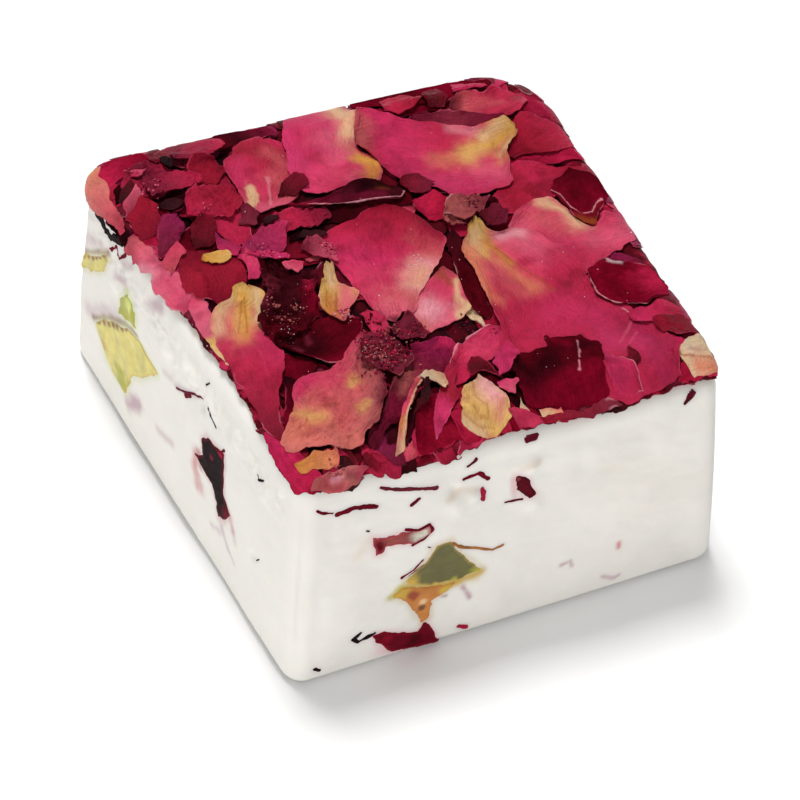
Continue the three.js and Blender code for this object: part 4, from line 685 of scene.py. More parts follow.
    petal("front_orange", "salmon", (-5.3, -6.9), (-16.9, -14.4), cup=-0.5, relief=0.28, crumple=0.24,
          outline=[(-5.2, -7.1), (-6.2, -6.4), (-7.4, -6.7), (-8.7, -7.4), (-9.6, -8.3), (-10.6, -8.7),
              (-12.0, -8.7), (-13.5, -9.1), (-14.4, -9.8), (-15.0, -10.9), (-15.8, -12.1), (-16.8, -13.0),
              (-17.3, -13.9), (-17.0, -14.8), (-15.8, -15.5), (-14.4, -16.2), (-13.2, -16.4),
              (-12.0, -16.1), (-10.6, -15.3), (-9.4, -14.1), (-8.4, -12.8), (-7.6, -11.4), (-6.9, -10.0),
              (-6.1, -8.9), (-5.3, -7.9)],
          ramp=[(0, "plum"), (0.25, "rose"), (0.5, "coral"), (0.8, "salmon"), (1, "salmon")],
          washes=[("rose", 1.2, 0.7, [(-12.0, -9.8), (-10.0, -9.4)]),
              ("dusty", 1.3, 0.85, [(-8.2, -9.6), (-8.4, -12.0), (-10.4, -14.6)]),
              ("plum", 0.9, 0.85, [(-6.6, -8.6), (-7.2, -11.0), (-9.0, -13.6)]),
              ("dusk", 0.6, 0.6, [(-9.4, -14.4), (-10.6, -15.0)]),
              ("coral", 0.8, 0.6, [(-12.6, -13.8), (-11.4, -12.2)]),
              ("magenta", 0.8, 0.9, [(-14.6, -10.4), (-13.6, -9.6), (-12.6, -9.2)]),
              ("apricot", 1.2, 0.45, [(-16.0, -13.4), (-14.4, -12.6)]),
              ("claw", 0.55, 0.65, [(-14.8, -12.2), (-13.6, -12.6)]),
              ("claw", 0.5, 0.65, [(-10.2, -10.9), (-9.6, -10.3)]),
              ("claw", 0.4, 0.55, [(-10.6, -13.2), (-9.9, -13.0)]),
              # Painted highlight: the small salmon spot near the lower edge.
              ("salmon", 0.6, 0.6, [(-13.4, -15.2), (-13.2, -15.6)])],
          marks=[("black", 0.12, 0.9, -0.05, [(-16.9, -15.2), (-15.9, -15.7), (-14.8, -16.2),
              (-13.6, -16.5)]),
              ("rust", 0.07, 0.5, -0.03, [(-14.6, -14.2), (-12.8, -13.8), (-11.4, -13.0)]),
              ("rust", 0.07, 0.5, -0.03, [(-13.2, -11.6), (-12.0, -12.2), (-11.0, -12.0)]),
              ("maroon", 0.1, 0.6, -0.05, [(-9.0, -13.4), (-8.0, -12.4), (-7.4, -11.4)])]),
    petal("centre", "crimson", (0.8, 5.6), (-3.3, -5.6), cup=-0.6, relief=0.15,
          outline=[(0.8, 5.9), (-1.2, 5.8), (-2.8, 5.4), (-4.2, 4.9), (-5.3, 4.4), (-5.7, 3.4), (-5.6, 2.0),
              (-5.2, 0.4), (-5.1, -1.4), (-4.8, -3.0), (-4.2, -4.5), (-3.5, -5.3), (-2.6, -5.6),
              (-1.7, -5.2), (-1.3, -4.5), (-0.8, -3.6), (0.3, -2.6), (1.5, -1.6), (2.5, -0.5), (3.2, 0.4),
              (3.9, 1.3), (3.8, 2.3), (3.1, 3.9), (2.1, 5.1)],
          ramp=[(0, "red"), (0.3, "crimson"), (0.5, "magenta"), (0.85, "rose"), (1, "pink")],
          washes=[("rose", 1.6, 0.7, [(-3.4, -0.6), (-3.8, -3.6)]),
              ("pink", 1.3, 0.8, [(-3.4, -4.6), (-2.6, -5.0)]),
              # Painted highlight: the salmon and blush washes are the broad pale sheen on the dome's lower
              # right.
              ("salmon", 1.5, 0.8, [(1.6, -0.4), (0.2, -2.0), (-1.6, -3.6)]),
              ("blush", 1.1, 0.7, [(0.9, -1.2), (-0.6, -2.8)]),
              ("claw", 0.7, 0.4, [(0.4, -1.6), (-0.6, -2.6)]),
              ("coral", 1.0, 0.5, [(2.4, 0.8), (2.8, 1.4)]), ("wine", 0.9, 0.6, [(3.5, 3.4), (3.8, 2.0)])]),
    petal("cream_claw", "cream", (-5.8, 1.8), (-7.8, -4.7), cup=0.2, rim="blush", relief=0.3,
          outline=[(-5.9, 1.6), (-6.2, 1.5), (-6.5, 0.9), (-6.9, 0.1), (-7.5, -0.6), (-8.2, -1.7),
              (-8.6, -2.8), (-8.5, -3.8), (-8.0, -4.5), (-7.4, -4.8), (-6.9, -4.4), (-6.5, -3.5),
              (-5.6, -2.8), (-5.0, -2.1), (-5.3, -1.2), (-5.9, -0.5), (-5.7, 0.6), (-5.6, 1.5)],
          ramp=[(0, "claw"), (0.5, "claw"), (0.75, "amber"), (1, "coral")],
          washes=[("pink", 0.8, 0.85, [(-5.7, -1.2), (-6.6, -3.4)]),
              ("cream", 0.4, 0.8, [(-5.8, 1.2), (-6.5, -0.4)]),
              ("amber", 0.4, 0.7, [(-7.2, -1.6), (-8.2, -3.6)]),
              ("rust", 0.1, 0.7, [(-6.6, -1.4), (-7.7, -3.6)]),
              ("rust", 0.08, 0.6, [(-7.2, -1.0), (-8.2, -3.0)])]),
    petal("boat", "maroon", (-5.6, 8.4), (3.0, 6.7), cup=0.3, rim="dusk",
          outline=[(-5.7, 8.4), (-4.4, 7.7), (-3.0, 7.3), (-1.6, 6.9), (0.0, 6.5), (1.4, 6.2), (2.5, 6.1),
              (3.1, 6.8), (2.7, 7.6), (1.8, 8.2), (0.4, 8.6), (-1.2, 8.7), (-3.0, 8.6), (-4.6, 8.6)],
          ramp=[(0, "crimson"), (0.3, "plum"), (0.6, "umber"), (1, "umber")],
          # Painted light: the rust wash is a painted glint in the hollow, the black wash and the black mark
          # painted shade in the curled hollow, and the blush mark a painted highlight along the lip.
          washes=[("rust", 0.3, 0.8, [(1.2, 7.8), (1.9, 7.6)]),
              ("plum", 0.5, 0.7, [(-0.4, 7.3), (1.2, 6.9)]), ("black", 0.5, 0.8, [(0.2, 8.2), (2.0, 7.9)])],
          marks=[("blush", 0.07, 0.7, 0.1, [(-4.4, 7.9), (-2.6, 7.35), (-0.6, 6.75), (1.2, 6.35),
              (2.5, 6.3), (3.0, 6.9)]), ("black", 0.25, 0.6, -0.1, [(-0.4, 7.9), (1.0, 7.9), (2.2, 7.6)])]),
]

# Torn bits under the petals: first and last colour, outline. Black is partly the near-black of crushed
# petals and partly painted shade in the holes and slits between the petals.
SCRAPS_UNDER = [
    scrap("black", "black", [(-18.5, 13.2), (-18.2, 13.9), (-17.6, 12.4), (-17.3, 9.6), (-17.5, 8.2),
          (-18.0, 8.6), (-18.1, 10.6), (-18.4, 12.2)], hangs=True),
    scrap("crimson", "wine", [(-16.9, 15.1), (-17.0, 16.7), (-15.8, 17.3), (-13.2, 17.2), (-13.0, 16.3),
          (-15.2, 15.5)]),
    scrap("black", "black", [(-13.1, 14.8), (-13.0, 16.4), (-12.2, 16.8), (-11.4, 16.2), (-11.6, 14.9)]),
    scrap("black", "umber", [(-17.1, 13.1), (-16.8, 14.5), (-15.8, 14.6), (-15.2, 13.8), (-15.6, 12.8)]),
    scrap("umber", "black", [(-15.6, 11.4), (-14.7, 12.6), (-13.1, 12.4), (-12.2, 11.4), (-13.2, 10.4),
          (-14.8, 10.6)]),
    scrap("black", "maroon", [(-8.8, 7.0), (-8.2, 8.4), (-6.8, 8.6), (-6.4, 7.4), (-7.4, 6.6)]),
    scrap("black", "black", [(-7.4, 4.6), (-6.6, 6.0), (-4.6, 6.4), (-4.0, 5.4), (-5.0, 4.4)]),
    scrap("black", "maroon", [(-5.4, 6.2), (-1.0, 5.6), (3.2, 5.6), (3.4, 7.0), (-2.0, 7.6), (-5.4, 8.2)]),
    scrap("maroon", "wine", [(3.0, 15.0), (3.4, 17.2), (7.0, 17.5), (11.6, 17.2), (14.6, 16.2),
          (13.6, 15.0), (8.0, 14.8)]),
    scrap("crimson", "wine", [(2.4, 13.0), (2.8, 16.6), (4.8, 16.6), (5.6, 15.0), (4.2, 13.4)]),
    scrap("black", "maroon", [(11.2, 15.4), (11.6, 17.2), (13.6, 17.0), (13.2, 15.6)]),
    scrap("plum", "crimson", [(15.0, 10.4), (15.2, 13.2), (16.4, 14.6), (17.2, 12.8), (17.0, 10.4)]),
    scrap("black", "maroon", [(13.8, 10.0), (14.0, 12.0), (15.3, 12.8), (15.4, 10.2)]),
    scrap("wine", "crimson", [(12.0, 6.6), (12.6, 9.4), (15.0, 10.6), (17.4, 9.4), (17.4, 6.4)]),
    scrap("wine", "black", [(9.0, 2.6), (9.6, 4.9), (11.6, 5.2), (12.0, 3.2), (10.6, 2.0)]),
    scrap("maroon", "wine", [(6.4, 1.2), (6.9, 3.4), (9.2, 3.6), (9.9, 1.8), (8.2, 0.6)]),
    scrap("crimson", "red", [(3.0, 5.8), (5.0, 6.2), (6.2, 4.8), (4.8, 3.2), (3.4, 3.6)]),
    scrap("black", "maroon", [(0.0, -1.2), (3.0, 0.2), (3.2, -2.6), (1.0, -3.6), (-1.0, -3.0)]),
    scrap("claw", "bone", [(1.4, -3.2), (2.6, -3.6), (2.6, -6.6), (2.4, -8.6), (1.8, -7.0), (1.2, -5.0)]),
    scrap("black", "umber", [(-3.6, -7.6), (-4.4, -8.6), (-2.8, -9.0), (-1.8, -8.4), (-2.4, -7.4)]),
    scrap("plum", "violet", [(-4.6, -9.8), (-3.8, -8.2), (-1.4, -8.2), (-0.8, -9.6), (-2.6, -11.8),
          (-4.4, -11.2)]),
    scrap("wine", "maroon", [(-14.6, -7.4), (-13.2, -6.4), (-11.4, -8.0), (-12.6, -9.4), (-14.6, -9.6)]),
    scrap("wine", "black", [(-16.6, -12.6), (-14.4, -8.6), (-13.6, -9.4), (-15.2, -12.8)]),
    scrap("black", "umber", [(-7.4, -11.6), (-5.2, -12.2), (-6.6, -15.0), (-8.8, -17.0), (-10.2, -16.6),
          (-8.6, -13.6)]),
    scrap("wine", "red", [(-6.8, -14.8), (-4.6, -13.6), (-3.4, -15.4), (-4.0, -17.2), (-6.8, -17.6),
          (-8.4, -17.3)]),
    scrap("crimson", "red", [(-4.6, -16.0), (-2.8, -15.6), (-2.2, -17.4), (-4.2, -17.6)]),
    scrap("red", "wine", [(-0.4, -17.6), (0.0, -15.8), (1.8, -16.2), (2.6, -17.5)]),
    scrap("maroon", "black", [(-1.2, -12.4), (0.2, -11.6), (2.0, -12.6), (2.4, -15.4), (1.0, -16.6),
          (-0.2, -15.4)]),
    scrap("black", "maroon", [(14.2, -13.4), (14.8, -11.8), (17.4, -11.8), (17.5, -13.6), (16.2, -14.6)]),
    scrap("magenta", "crimson", [(13.4, -13.2), (15.6, -13.6), (16.6, -15.2), (15.4, -16.8), (12.8, -17.2),
          (12.4, -15.0)]),
    scrap("red", "crimson", [(14.2, -17.4), (15.0, -16.2), (17.2, -16.2), (17.4, -17.3)]),
    scrap("magenta", "crimson", [(-17.6, -12.0), (-16.4, -13.2), (-16.6, -15.6), (-15.8, -17.8),
          (-17.4, -18.4), (-18.6, -17.0), (-19.0, -15.0), (-18.4, -13.0)], rim="pink"),
]

# Torn bits that lie over the petals. Black is partly the near-black of crushed petals and partly painted
# shade in the holes between them.
SCRAPS_OVER = [
    scrap("black", "umber", [(-15.0, 10.9), (-14.3, 11.6), (-13.4, 11.4), (-12.9, 10.9), (-13.8, 10.4),
          (-14.6, 10.5)]),
    scrap("black", "black", [(-12.7, 14.9), (-12.8, 15.9), (-12.2, 16.2), (-11.8, 15.3), (-12.2, 14.7)]),
    scrap("black", "maroon", [(-16.9, 13.1), (-16.6, 13.8), (-15.9, 13.9), (-15.7, 13.2), (-16.3, 12.8)]),
    scrap("black", "umber", [(-8.7, 6.7), (-8.0, 7.5), (-7.3, 7.4), (-7.2, 6.8), (-8.0, 6.5)]),
    scrap("black", "umber", [(-7.0, 4.5), (-6.0, 5.2), (-4.9, 5.2), (-4.5, 4.5), (-5.6, 4.1)]),
    scrap("magenta", "pink", [(-15.8, 14.4), (-15.0, 15.0), (-14.0, 15.1), (-14.5, 14.6), (-15.2, 14.3)],
          crumple=0.1),
    scrap("plum", "crimson", [(-11.8, 15.4), (-11.5, 16.6), (-9.7, 17.1), (-7.4, 16.9), (-7.6, 15.9),
          (-9.6, 15.0)]),
    scrap("red", "wine", [(-11.2, 12.4), (-11.2, 14.5), (-10.2, 15.3), (-8.7, 14.8), (-8.6, 13.0),
          (-9.6, 12.2)], crumple=0.15),
    scrap("plum", "crimson", [(-14.8, 12.2), (-15.2, 13.4), (-13.4, 14.2), (-11.9, 13.9), (-10.6, 12.7),
          (-11.2, 12.1), (-12.8, 11.9)], crumple=0.25),
    scrap("wine", "pink", [(-17.0, 11.6), (-16.8, 13.0), (-15.8, 13.2), (-15.4, 12.4), (-16.2, 11.8)],
          crumple=0.12),
    scrap("crimson", "red", [(-13.4, 9.6), (-12.6, 11.5), (-10.6, 12.0), (-9.1, 11.3), (-9.0, 9.6),
          (-10.4, 8.3), (-12.2, 8.5)], crumple=0.25),
    scrap("wine", "red", [(-17.1, 8.8), (-17.2, 11.4), (-16.2, 12.2), (-15.3, 11.4), (-15.2, 9.6),
          (-15.9, 8.3)], crumple=0.2),
    scrap("plum", "violet", [(-16.9, 6.4), (-16.4, 8.2), (-14.8, 10.3), (-13.8, 9.9), (-14.0, 8.6),
          (-15.5, 6.8)], crumple=0.25),
    scrap("maroon", "wine", [(-14.3, 6.4), (-13.8, 8.4), (-12.6, 9.0), (-11.9, 8.2), (-12.2, 6.5),
          (-13.4, 6.0)]),
    scrap("coral", "rose", [(-16.9, 4.5), (-16.7, 6.3), (-15.6, 6.6), (-15.3, 5.8), (-16.1, 5.0)]),
    scrap("magenta", "violet", [(-12.9, 4.3), (-12.7, 6.3), (-12.2, 7.3), (-11.6, 6.1), (-11.3, 4.8),
          (-12.0, 3.9)]),
    scrap("yellow", "claw", [(-14.6, 4.4), (-14.3, 5.1), (-13.4, 4.9), (-12.5, 4.4), (-12.6, 3.7),
          (-13.4, 3.3), (-14.2, 3.7)], rim="cream"),
    scrap("pink", "rose", [(-8.9, 1.8), (-8.9, 2.8), (-8.0, 3.0), (-7.4, 2.3), (-7.8, 1.4), (-8.4, 1.2)],
          crumple=0.12),
    scrap("fuchsia", "rose", [(-12.1, 1.4), (-11.9, 3.4), (-11.3, 4.3), (-10.8, 3.2), (-11.2, 1.5),
          (-11.7, 0.7)]),
    scrap("magenta", "fuchsia", [(-11.5, 3.7), (-10.4, 4.1), (-9.2, 3.9), (-7.9, 3.4), (-8.0, 2.9),
          (-9.4, 3.1), (-10.6, 3.3)], rim="pink", crumple=0.15),
    scrap("plum", "pink", [(-7.2, 3.8), (-6.4, 4.6), (-5.3, 4.3), (-4.8, 2.8), (-5.2, 1.2), (-6.0, 2.1)],
          crumple=0.2),
    scrap("dusk", "plum", [(-10.0, 7.6), (-9.4, 9.0), (-8.6, 9.4), (-8.2, 8.2), (-8.8, 7.4)]),
    scrap("maroon", "wine", [(-5.9, 9.7), (-5.2, 10.8), (-4.0, 11.4), (-3.2, 11.0), (-3.4, 10.0),
          (-4.6, 9.5)]),
    scrap("wine", "plum", [(3.0, 7.8), (3.8, 8.5), (4.8, 8.1), (5.5, 7.0), (4.9, 6.2), (3.5, 6.5)]),
    scrap("dusty", "plum", [(4.4, 3.2), (5.2, 4.5), (6.4, 4.6), (7.6, 4.2), (8.4, 3.5), (7.4, 2.6),
          (5.8, 2.3)], rim="blush", crumple=0.3),
    scrap("maroon", "plum", [(6.9, 2.3), (8.4, 3.0), (9.4, 2.0), (8.8, 1.0), (7.3, 1.0)]),
    scrap("crimson", "rose", [(-6.3, -4.4), (-5.6, -3.1), (-4.7, -3.8), (-4.2, -5.4), (-4.8, -6.6),
          (-5.8, -6.2)], crumple=0.25),
    scrap("plum", "dusk", [(-4.6, -6.4), (-2.8, -5.6), (-1.9, -7.4), (-2.6, -8.0), (-4.2, -7.8)],
          crumple=0.25),
    scrap("dusk", "plum", [(-8.3, -8.9), (-7.4, -7.2), (-5.6, -7.1), (-4.4, -8.4), (-4.8, -10.4),
          (-6.6, -11.6), (-7.4, -10.4)], rim="dusty", crumple=0.3),
    scrap("bone", "cream", [(-5.3, -12.9), (-5.5, -12.3), (-4.9, -12.0), (-3.9, -11.9), (-3.2, -12.3),
          (-3.3, -13.2), (-4.0, -13.6), (-4.5, -12.8)], crumple=0.15),
    scrap("wine", "maroon", [(-0.3, -11.0), (-0.9, -11.7), (-1.3, -12.9), (-0.5, -12.6), (0.3, -12.9),
          (0.9, -13.7), (0.8, -12.5), (0.4, -11.5)]),
    scrap("black", "maroon", [(-4.9, -13.0), (-5.4, -13.3), (-6.4, -14.4), (-7.6, -15.6), (-6.2, -15.0),
          (-5.0, -13.8)], rim="cream"),
    scrap("fuchsia", "pink", [(0.4, -13.9), (1.1, -14.0), (1.9, -14.6), (1.3, -15.0), (0.8, -15.6),
          (0.2, -15.2)], rim="blush", crumple=0.15),
    scrap("magenta", "fuchsia", [(3.0, -10.4), (1.8, -11.3), (0.9, -12.2), (0.9, -13.5), (1.6, -13.7),
          (2.3, -12.9), (3.2, -12.5)]),
    scrap("cream", "apricot", [(2.4, -16.9), (3.2, -17.0), (4.2, -16.9), (4.0, -17.6), (3.0, -17.9),
          (2.4, -17.5)]),
    scrap("cream", "blush", [(1.3, -15.9), (1.6, -16.6), (1.4, -17.2), (0.9, -17.4), (0.8, -17.0)]),
    scrap("rose", "crimson", [(0.1, -16.4), (1.0, -16.6), (2.6, -17.2), (4.6, -17.4), (2.4, -17.8),
          (0.4, -17.6)]),
    scrap("red", "dusk", [(2.2, -17.2), (5.0, -17.2), (8.4, -17.1), (9.2, -17.5), (6.0, -17.8),
          (3.0, -17.8)], rim="blush", crumple=0.2),
    scrap("amber", "apricot", [(-17.2, -15.7), (-15.6, -15.9), (-14.2, -16.4), (-14.5, -16.9),
          (-16.0, -16.9), (-17.2, -16.6)]),
    scrap("fuchsia", "crimson", [(9.6, -14.2), (10.4, -14.9), (11.4, -15.8), (11.2, -17.2), (8.9, -17.3),
          (8.6, -15.8)], rim="blush"),
    scrap("wine", "maroon", [(10.9, -14.6), (11.6, -13.5), (12.2, -14.4), (12.0, -15.4), (11.4, -15.5)]),
    scrap("crimson", "red", [(5.0, 15.2), (5.6, 16.9), (7.6, 17.0), (8.6, 16.0), (7.6, 15.1), (6.0, 14.7)]),
    scrap("maroon", "wine", [(8.6, 15.0), (8.8, 16.8), (10.4, 16.9), (10.8, 15.6), (10.0, 14.6)]),
    scrap("magenta", "crimson", [(11.0, 15.6), (11.6, 17.0), (13.8, 16.6), (14.0, 15.8), (12.4, 15.4)]),
    scrap("red", "wine", [(15.0, -11.6), (16.2, -11.8), (17.4, -11.4), (17.5, -13.4), (16.2, -13.9),
          (14.8, -13.4)], crumple=0.1),
]

END_ROUNDING = 0.5
END_SLACK = 0.4
CUP_SHARE = 0.6
EDGE_LIFT = 0.09
VEIN_HEIGHT = 0.008
LYING_SHARE = 12
MOTTLE = 0.13
DEEPENED = np.array([0.6, 0.35, 0.45])
LEAST_ROWS, MOST_ROWS = 6, 200
LEAST_COLUMNS, MOST_COLUMNS = 4, 140
TORN_REACH = 0.7


def stations_at(stations, share):
    """A smooth curve through evenly spaced values."""
    values = np.array(stations)
    place = np.clip(share, 0, 1) * (len(values) - 1)
    i = np.minimum(place.astype(int), len(values) - 2)
    t = place - i
    before = values[np.maximum(i - 1, 0)]
    after = values[np.minimum(i + 2, len(values) - 1)]
    slope_in = (values[i + 1] - before) / 2
    slope_out = (after - values[i]) / 2
    rise = values[i + 1] - values[i]
    return values[i] + t * slope_in + t * t * (3 * rise - 2 * slope_in - slope_out) + (
        t ** 3 * (slope_in + slope_out - 2 * rise))


def drawn_back(end, nearest, length):
    """How far an end's corner is drawn back to round it."""
    narrowing = 3 * abs(nearest - end)
    return end * min(END_ROUNDING, END_SLACK * length / (4 * end + 2 * narrowing))


def softened(values, reach):
    """A row of values evened out over this many neighbours on either side."""
    padded = np.pad(values, reach, mode="edge")
    return np.convolve(padded, np.ones(2 * reach + 1) / (2 * reach + 1), mode="valid")


def outline_sides(shape, along, soft):
    """Offsets of an outline's two sides at even places along it, from the base to the tip."""
    corners = np.array(shape["outline"]) - shape["base"]
    axis = (np.array(shape["tip"]) - shape["base"]) / shape["length"]
    run = corners @ axis / shape["length"]
    offset = corners @ np.array([-axis[1], axis[0]])
    tip = int(np.argmax(run))
    sides = []
    for chain in (list(range(tip + 1)), [0] + list(range(len(run) - 1, tip - 1, -1))):
        places = np.maximum.accumulate(np.clip(run[chain], 0, 1)) + 1e-6 * np.arange(len(chain))
        sides.append(softened(np.interp(along, places, offset[chain]), soft))
    return np.maximum(*sides), np.minimum(*sides)


def profile_sides(shape, along):
    """Offsets of a profile's two sides at even places along it."""
    left = stations_at((shape["ends"][0], *shape["left"], shape["ends"][1]), along)
    right = stations_at((shape["ends"][0], *shape["right"], shape["ends"][1]), along)
    return left, -right


def petal_sides(shape, run, spacing):
    """Offsets of a petal's two sides at even places along it."""
    if shape["outline"]:
        return outline_sides(shape, run, int(round(shape["soft"] / spacing)))
    return profile_sides(shape, run)


def rounded_ends(shape, along, across):
    """How far a profile's points are moved along it to round its two ends."""
    moved = 0 * across
    for sign, stations in ((1, shape["left"]), (-1, shape["right"])):
        at_base = drawn_back(shape["ends"][0], stations[0], shape["length"]) * (1 - along) ** 4
        at_tip = drawn_back(shape["ends"][1], stations[-1], shape["length"]) * along ** 4
        moved = moved + (across * sign > 0) * across ** 2 * (at_base - at_tip)
    return moved


def strayed(u, v, to_edge, ragged, seed):
    """How far a petal's points stray in one direction, most of all near its edge."""
    torn = 0.9 * clouds(u, v, 0.8, seed + 4, 2) + 0.5 * clouds(u, v, 0.3, seed + 7, 1)
    return clouds(u, v, 2.0, seed, 2) * ragged + (1 - smooth(to_edge, 0, TORN_REACH)) * ragged * torn


def petal_grid(shape, spacing, seed):
    """Layout places of a petal's grid, and where each point lies on the petal."""
    base, tip, length = shape["base"], shape["tip"], shape["length"]
    rows = int(np.clip(length / spacing, LEAST_ROWS, MOST_ROWS)) + 1
    run = np.linspace(0.002, 0.998, rows)
    left, right = petal_sides(shape, run, spacing)
    widest = (left - right).max()
    columns = int(np.clip(widest / spacing, LEAST_COLUMNS, MOST_COLUMNS)) + 1
    even = np.linspace(-1, 1, columns)[None, :]
    across = even * (1.25 - 0.25 * even ** 2)
    along, left, right = run[:, None], left[:, None], right[:, None]
    offset = (left + right) / 2 + across * (left - right) / 2
    distance = along * length + 0 * across
    if not shape["outline"]:
        distance = distance + rounded_ends(shape, along, across)
    to_edge = np.minimum((left - right) / 2 * (1 - np.abs(across)), np.minimum(along, 1 - along) * length)
    axis = (np.array(tip) - base) / length
    u = base[0] + axis[0] * distance - axis[1] * offset
    v = base[1] + axis[1] * distance + axis[0] * offset
    strays = [strayed(u, v, to_edge, shape["ragged"], first) for first in (seed, seed + 11)]
    u, v = u + strays[0], v + strays[1]
    if not shape["hangs"]:
        u, v = cut_at_rim(u, v)
    fan = across * widest / 2
    return {"u": u, "v": v, "across": across + 0 * along, "distance": distance, "offset": offset,
            "fan": fan + (offset - fan) * along ** 2, "to_edge": to_edge}


def petal_relief(grid, shape, seed):
    """A petal's own form over what it lies on: its cup, soft swells, lifted edges, creases and marks."""
    across, fan, distance = grid["across"], grid["fan"], grid["distance"]
    cup = CUP_SHARE * shape["cup"]
    form = cup * across ** 2 if cup > 0 else -cup * (1 - across ** 2)
    swells = clouds(distance * 0.5, fan, 2.2, seed + 20, 2)
    edge = 1 - smooth(grid["to_edge"], 0, 0.55)
    lifted = edge * smooth(clouds(grid["u"], grid["v"], 1.7, seed + 26, 2), -0.1, 0.8)
    creases = ridges(distance, grid["offset"], 0.9, seed + 30)
    veins = clouds(distance * 0.12, fan * 1.6, 0.5, seed + 33, 1)
    own = form + shape["relief"] * swells + EDGE_LIFT * lifted + VEIN_HEIGHT * veins
    own = own + shape["crumple"] * creases
    own = np.maximum(own - np.percentile(own, LYING_SHARE), 0)
    for _, half, _, height, line in shape["marks"]:
        own = own + height * np.exp(-(line_distance(grid["u"], grid["v"], line) / half) ** 2)
    return np.maximum(own, 0)


def ramp_colour(share, ramp):
    """Colours between the named stops of a ramp."""
    places = [place for place, _ in ramp]
    stops = np.array([linear(name) for _, name in ramp])
    return np.stack([np.interp(share, places, stops[:, channel]) for channel in range(3)], -1)


def plain_tint(name, like):
    """One colour for each of the points that an array of values stands for."""
    return np.tile(linear(name), (*like.shape, 1))


def blend(under, over, share):
    """Mixes a colour or colours over others by a share for each point."""
    return under + (over - under) * share[..., None]


def petal_tint(grid, shape, seed):
    """Colours of a petal's points, with painted highlights and painted shade from its rim, its marks and
    some washes.
    """
    distance, offset, u, v = grid["distance"], grid["offset"], grid["u"], grid["v"]
    drift = 0.05 * clouds(distance, offset, 2.2, seed + 40)
    drift = drift + 0.04 * clouds(distance * 0.3, offset * 2, 0.8, seed + 44)
    tint = ramp_colour(np.hypot(distance, 0.55 * offset) / shape["length"] + drift, shape["ramp"])
    tint = tint * (1 + MOTTLE * clouds(distance, offset, 1.6, seed + 60) + 0.35 * MOTTLE * clouds(
        distance * 0.2, grid["fan"] * 1.6, 0.5, seed + 64, 2))[..., None]
    tint = blend(tint, tint * DEEPENED, 0.7 * smooth(clouds(u, v, 1.4, seed + 66), 0.1, 1.1))
    # Painted highlight: pale rim colour in patches along the torn edges, where an edge would catch the
    # light.
    edge_highlight_patches = smooth(clouds(distance, offset, 1.5, seed + 70, 2), 0.1, 0.7)
    tint = blend(tint, linear(shape["rim"]), 0.6 * edge_highlight_patches * (1 - smooth(grid["to_edge"], 0.02, 0.11)))
    # Washes: soft colours, some of them painted highlights and painted shade.
    for name, reach, strength, line in shape["washes"]:
        away = line_distance(u, v, line) * (1 + 0.35 * clouds(u, v, 1.2, 78, 3))
        tint = blend(tint, linear(name), strength * np.exp(-(away / reach) ** 2))
    # Painted light: pale marks paint highlights along edges and folds, black marks paint shadow in creases.
    for name, half, strength, _, line in shape["marks"]:
        away = line_distance(u, v, line) * (1 + 0.5 * clouds(u, v, 0.5, 75, 2))
        tint = blend(tint, linear(name), strength * np.exp(-(away / half) ** 4))
    return np.clip(tint, 0.002, 1)


def grain_of(grid, seed):
    """Each point's place on its petal in millimetres, and a number of the petal's own."""
    return np.stack([grid["distance"], grid["fan"], np.full_like(grid["fan"], seed % 97)], -1)


def lay_petal(pieces, shape, spacing, seed, reach=PETAL_BEND):
    """Lays one petal on the pile and adds it to the pieces."""
    shape["length"] = math.dist(shape["base"], shape["tip"])
    grid = petal_grid(shape, spacing, seed)
    u, v = grid["u"], grid["v"]
    under = drape(u, v, reach, spacing) + PETAL_GAP + petal_relief(grid, shape, seed)
    over = under + PETAL_THICKNESS
    pieces.add_sheet(roll_over(u, v, pressed(u, v, under)), roll_over(u, v, pressed(u, v, over)),
                     petal_tint(grid, shape, seed), grain_of(grid, seed))
    add_to_pile(u, v, over)


def scrap_piece(name, shapes, look, first_seed):
    """Torn bits laid one after another, as one piece."""
    pieces = Pieces()
    for number, shape in enumerate(shapes):
        lay_petal(pieces, shape, PETAL_SPACING, first_seed + 37 * number)
    pieces.make(name, petal_looks[look])


# ---------------------------------------------------------------- materials


def add_node(tree, kind, **values):
    """A new node with its sockets and settings by name."""
    node = tree.nodes.new(kind)
    for key, value in values.items():
        if key in node.inputs:
            node.inputs[key].default_value = value
        else:
            setattr(node, key, value)
    return node


def new_material(name):
    """An empty material with its principled shader and its tree."""
    material = bpy.data.materials.new(name)
    material.use_nodes = True
    tree = material.node_tree
    tree.nodes.clear()
    shader = add_node(tree, "ShaderNodeBsdfPrincipled")
    output = add_node(tree, "ShaderNodeOutputMaterial")
    tree.links.new(shader.outputs["BSDF"], output.inputs["Surface"])
    return material, tree, shader


def stretched(tree, source, scale):
    """A vector scaled along each of its three parts."""
    node = add_node(tree, "ShaderNodeVectorMath", operation="MULTIPLY")
    node.inputs[1].default_value = scale
    tree.links.new(source, node.inputs[0])
    return node.outputs[0]


def noise(tree, vector, scale, detail, roughness):
    """Cloudy values at a vector."""
    node = add_node(tree, "ShaderNodeTexNoise", Scale=scale, Detail=detail, Roughness=roughness)
    tree.links.new(vector, node.inputs["Vector"])
    return node.outputs["Fac"]


def ranged(tree, source, low, high, to_low, to_high):
    """Maps a value's range to another."""
    node = add_node(tree, "ShaderNodeMapRange")
    for key, value in (("From Min", low), ("From Max", high), ("To Min", to_low), ("To Max", to_high)):
        node.inputs[key].default_value = value
    tree.links.new(source, node.inputs["Value"])
    return node.outputs["Result"]


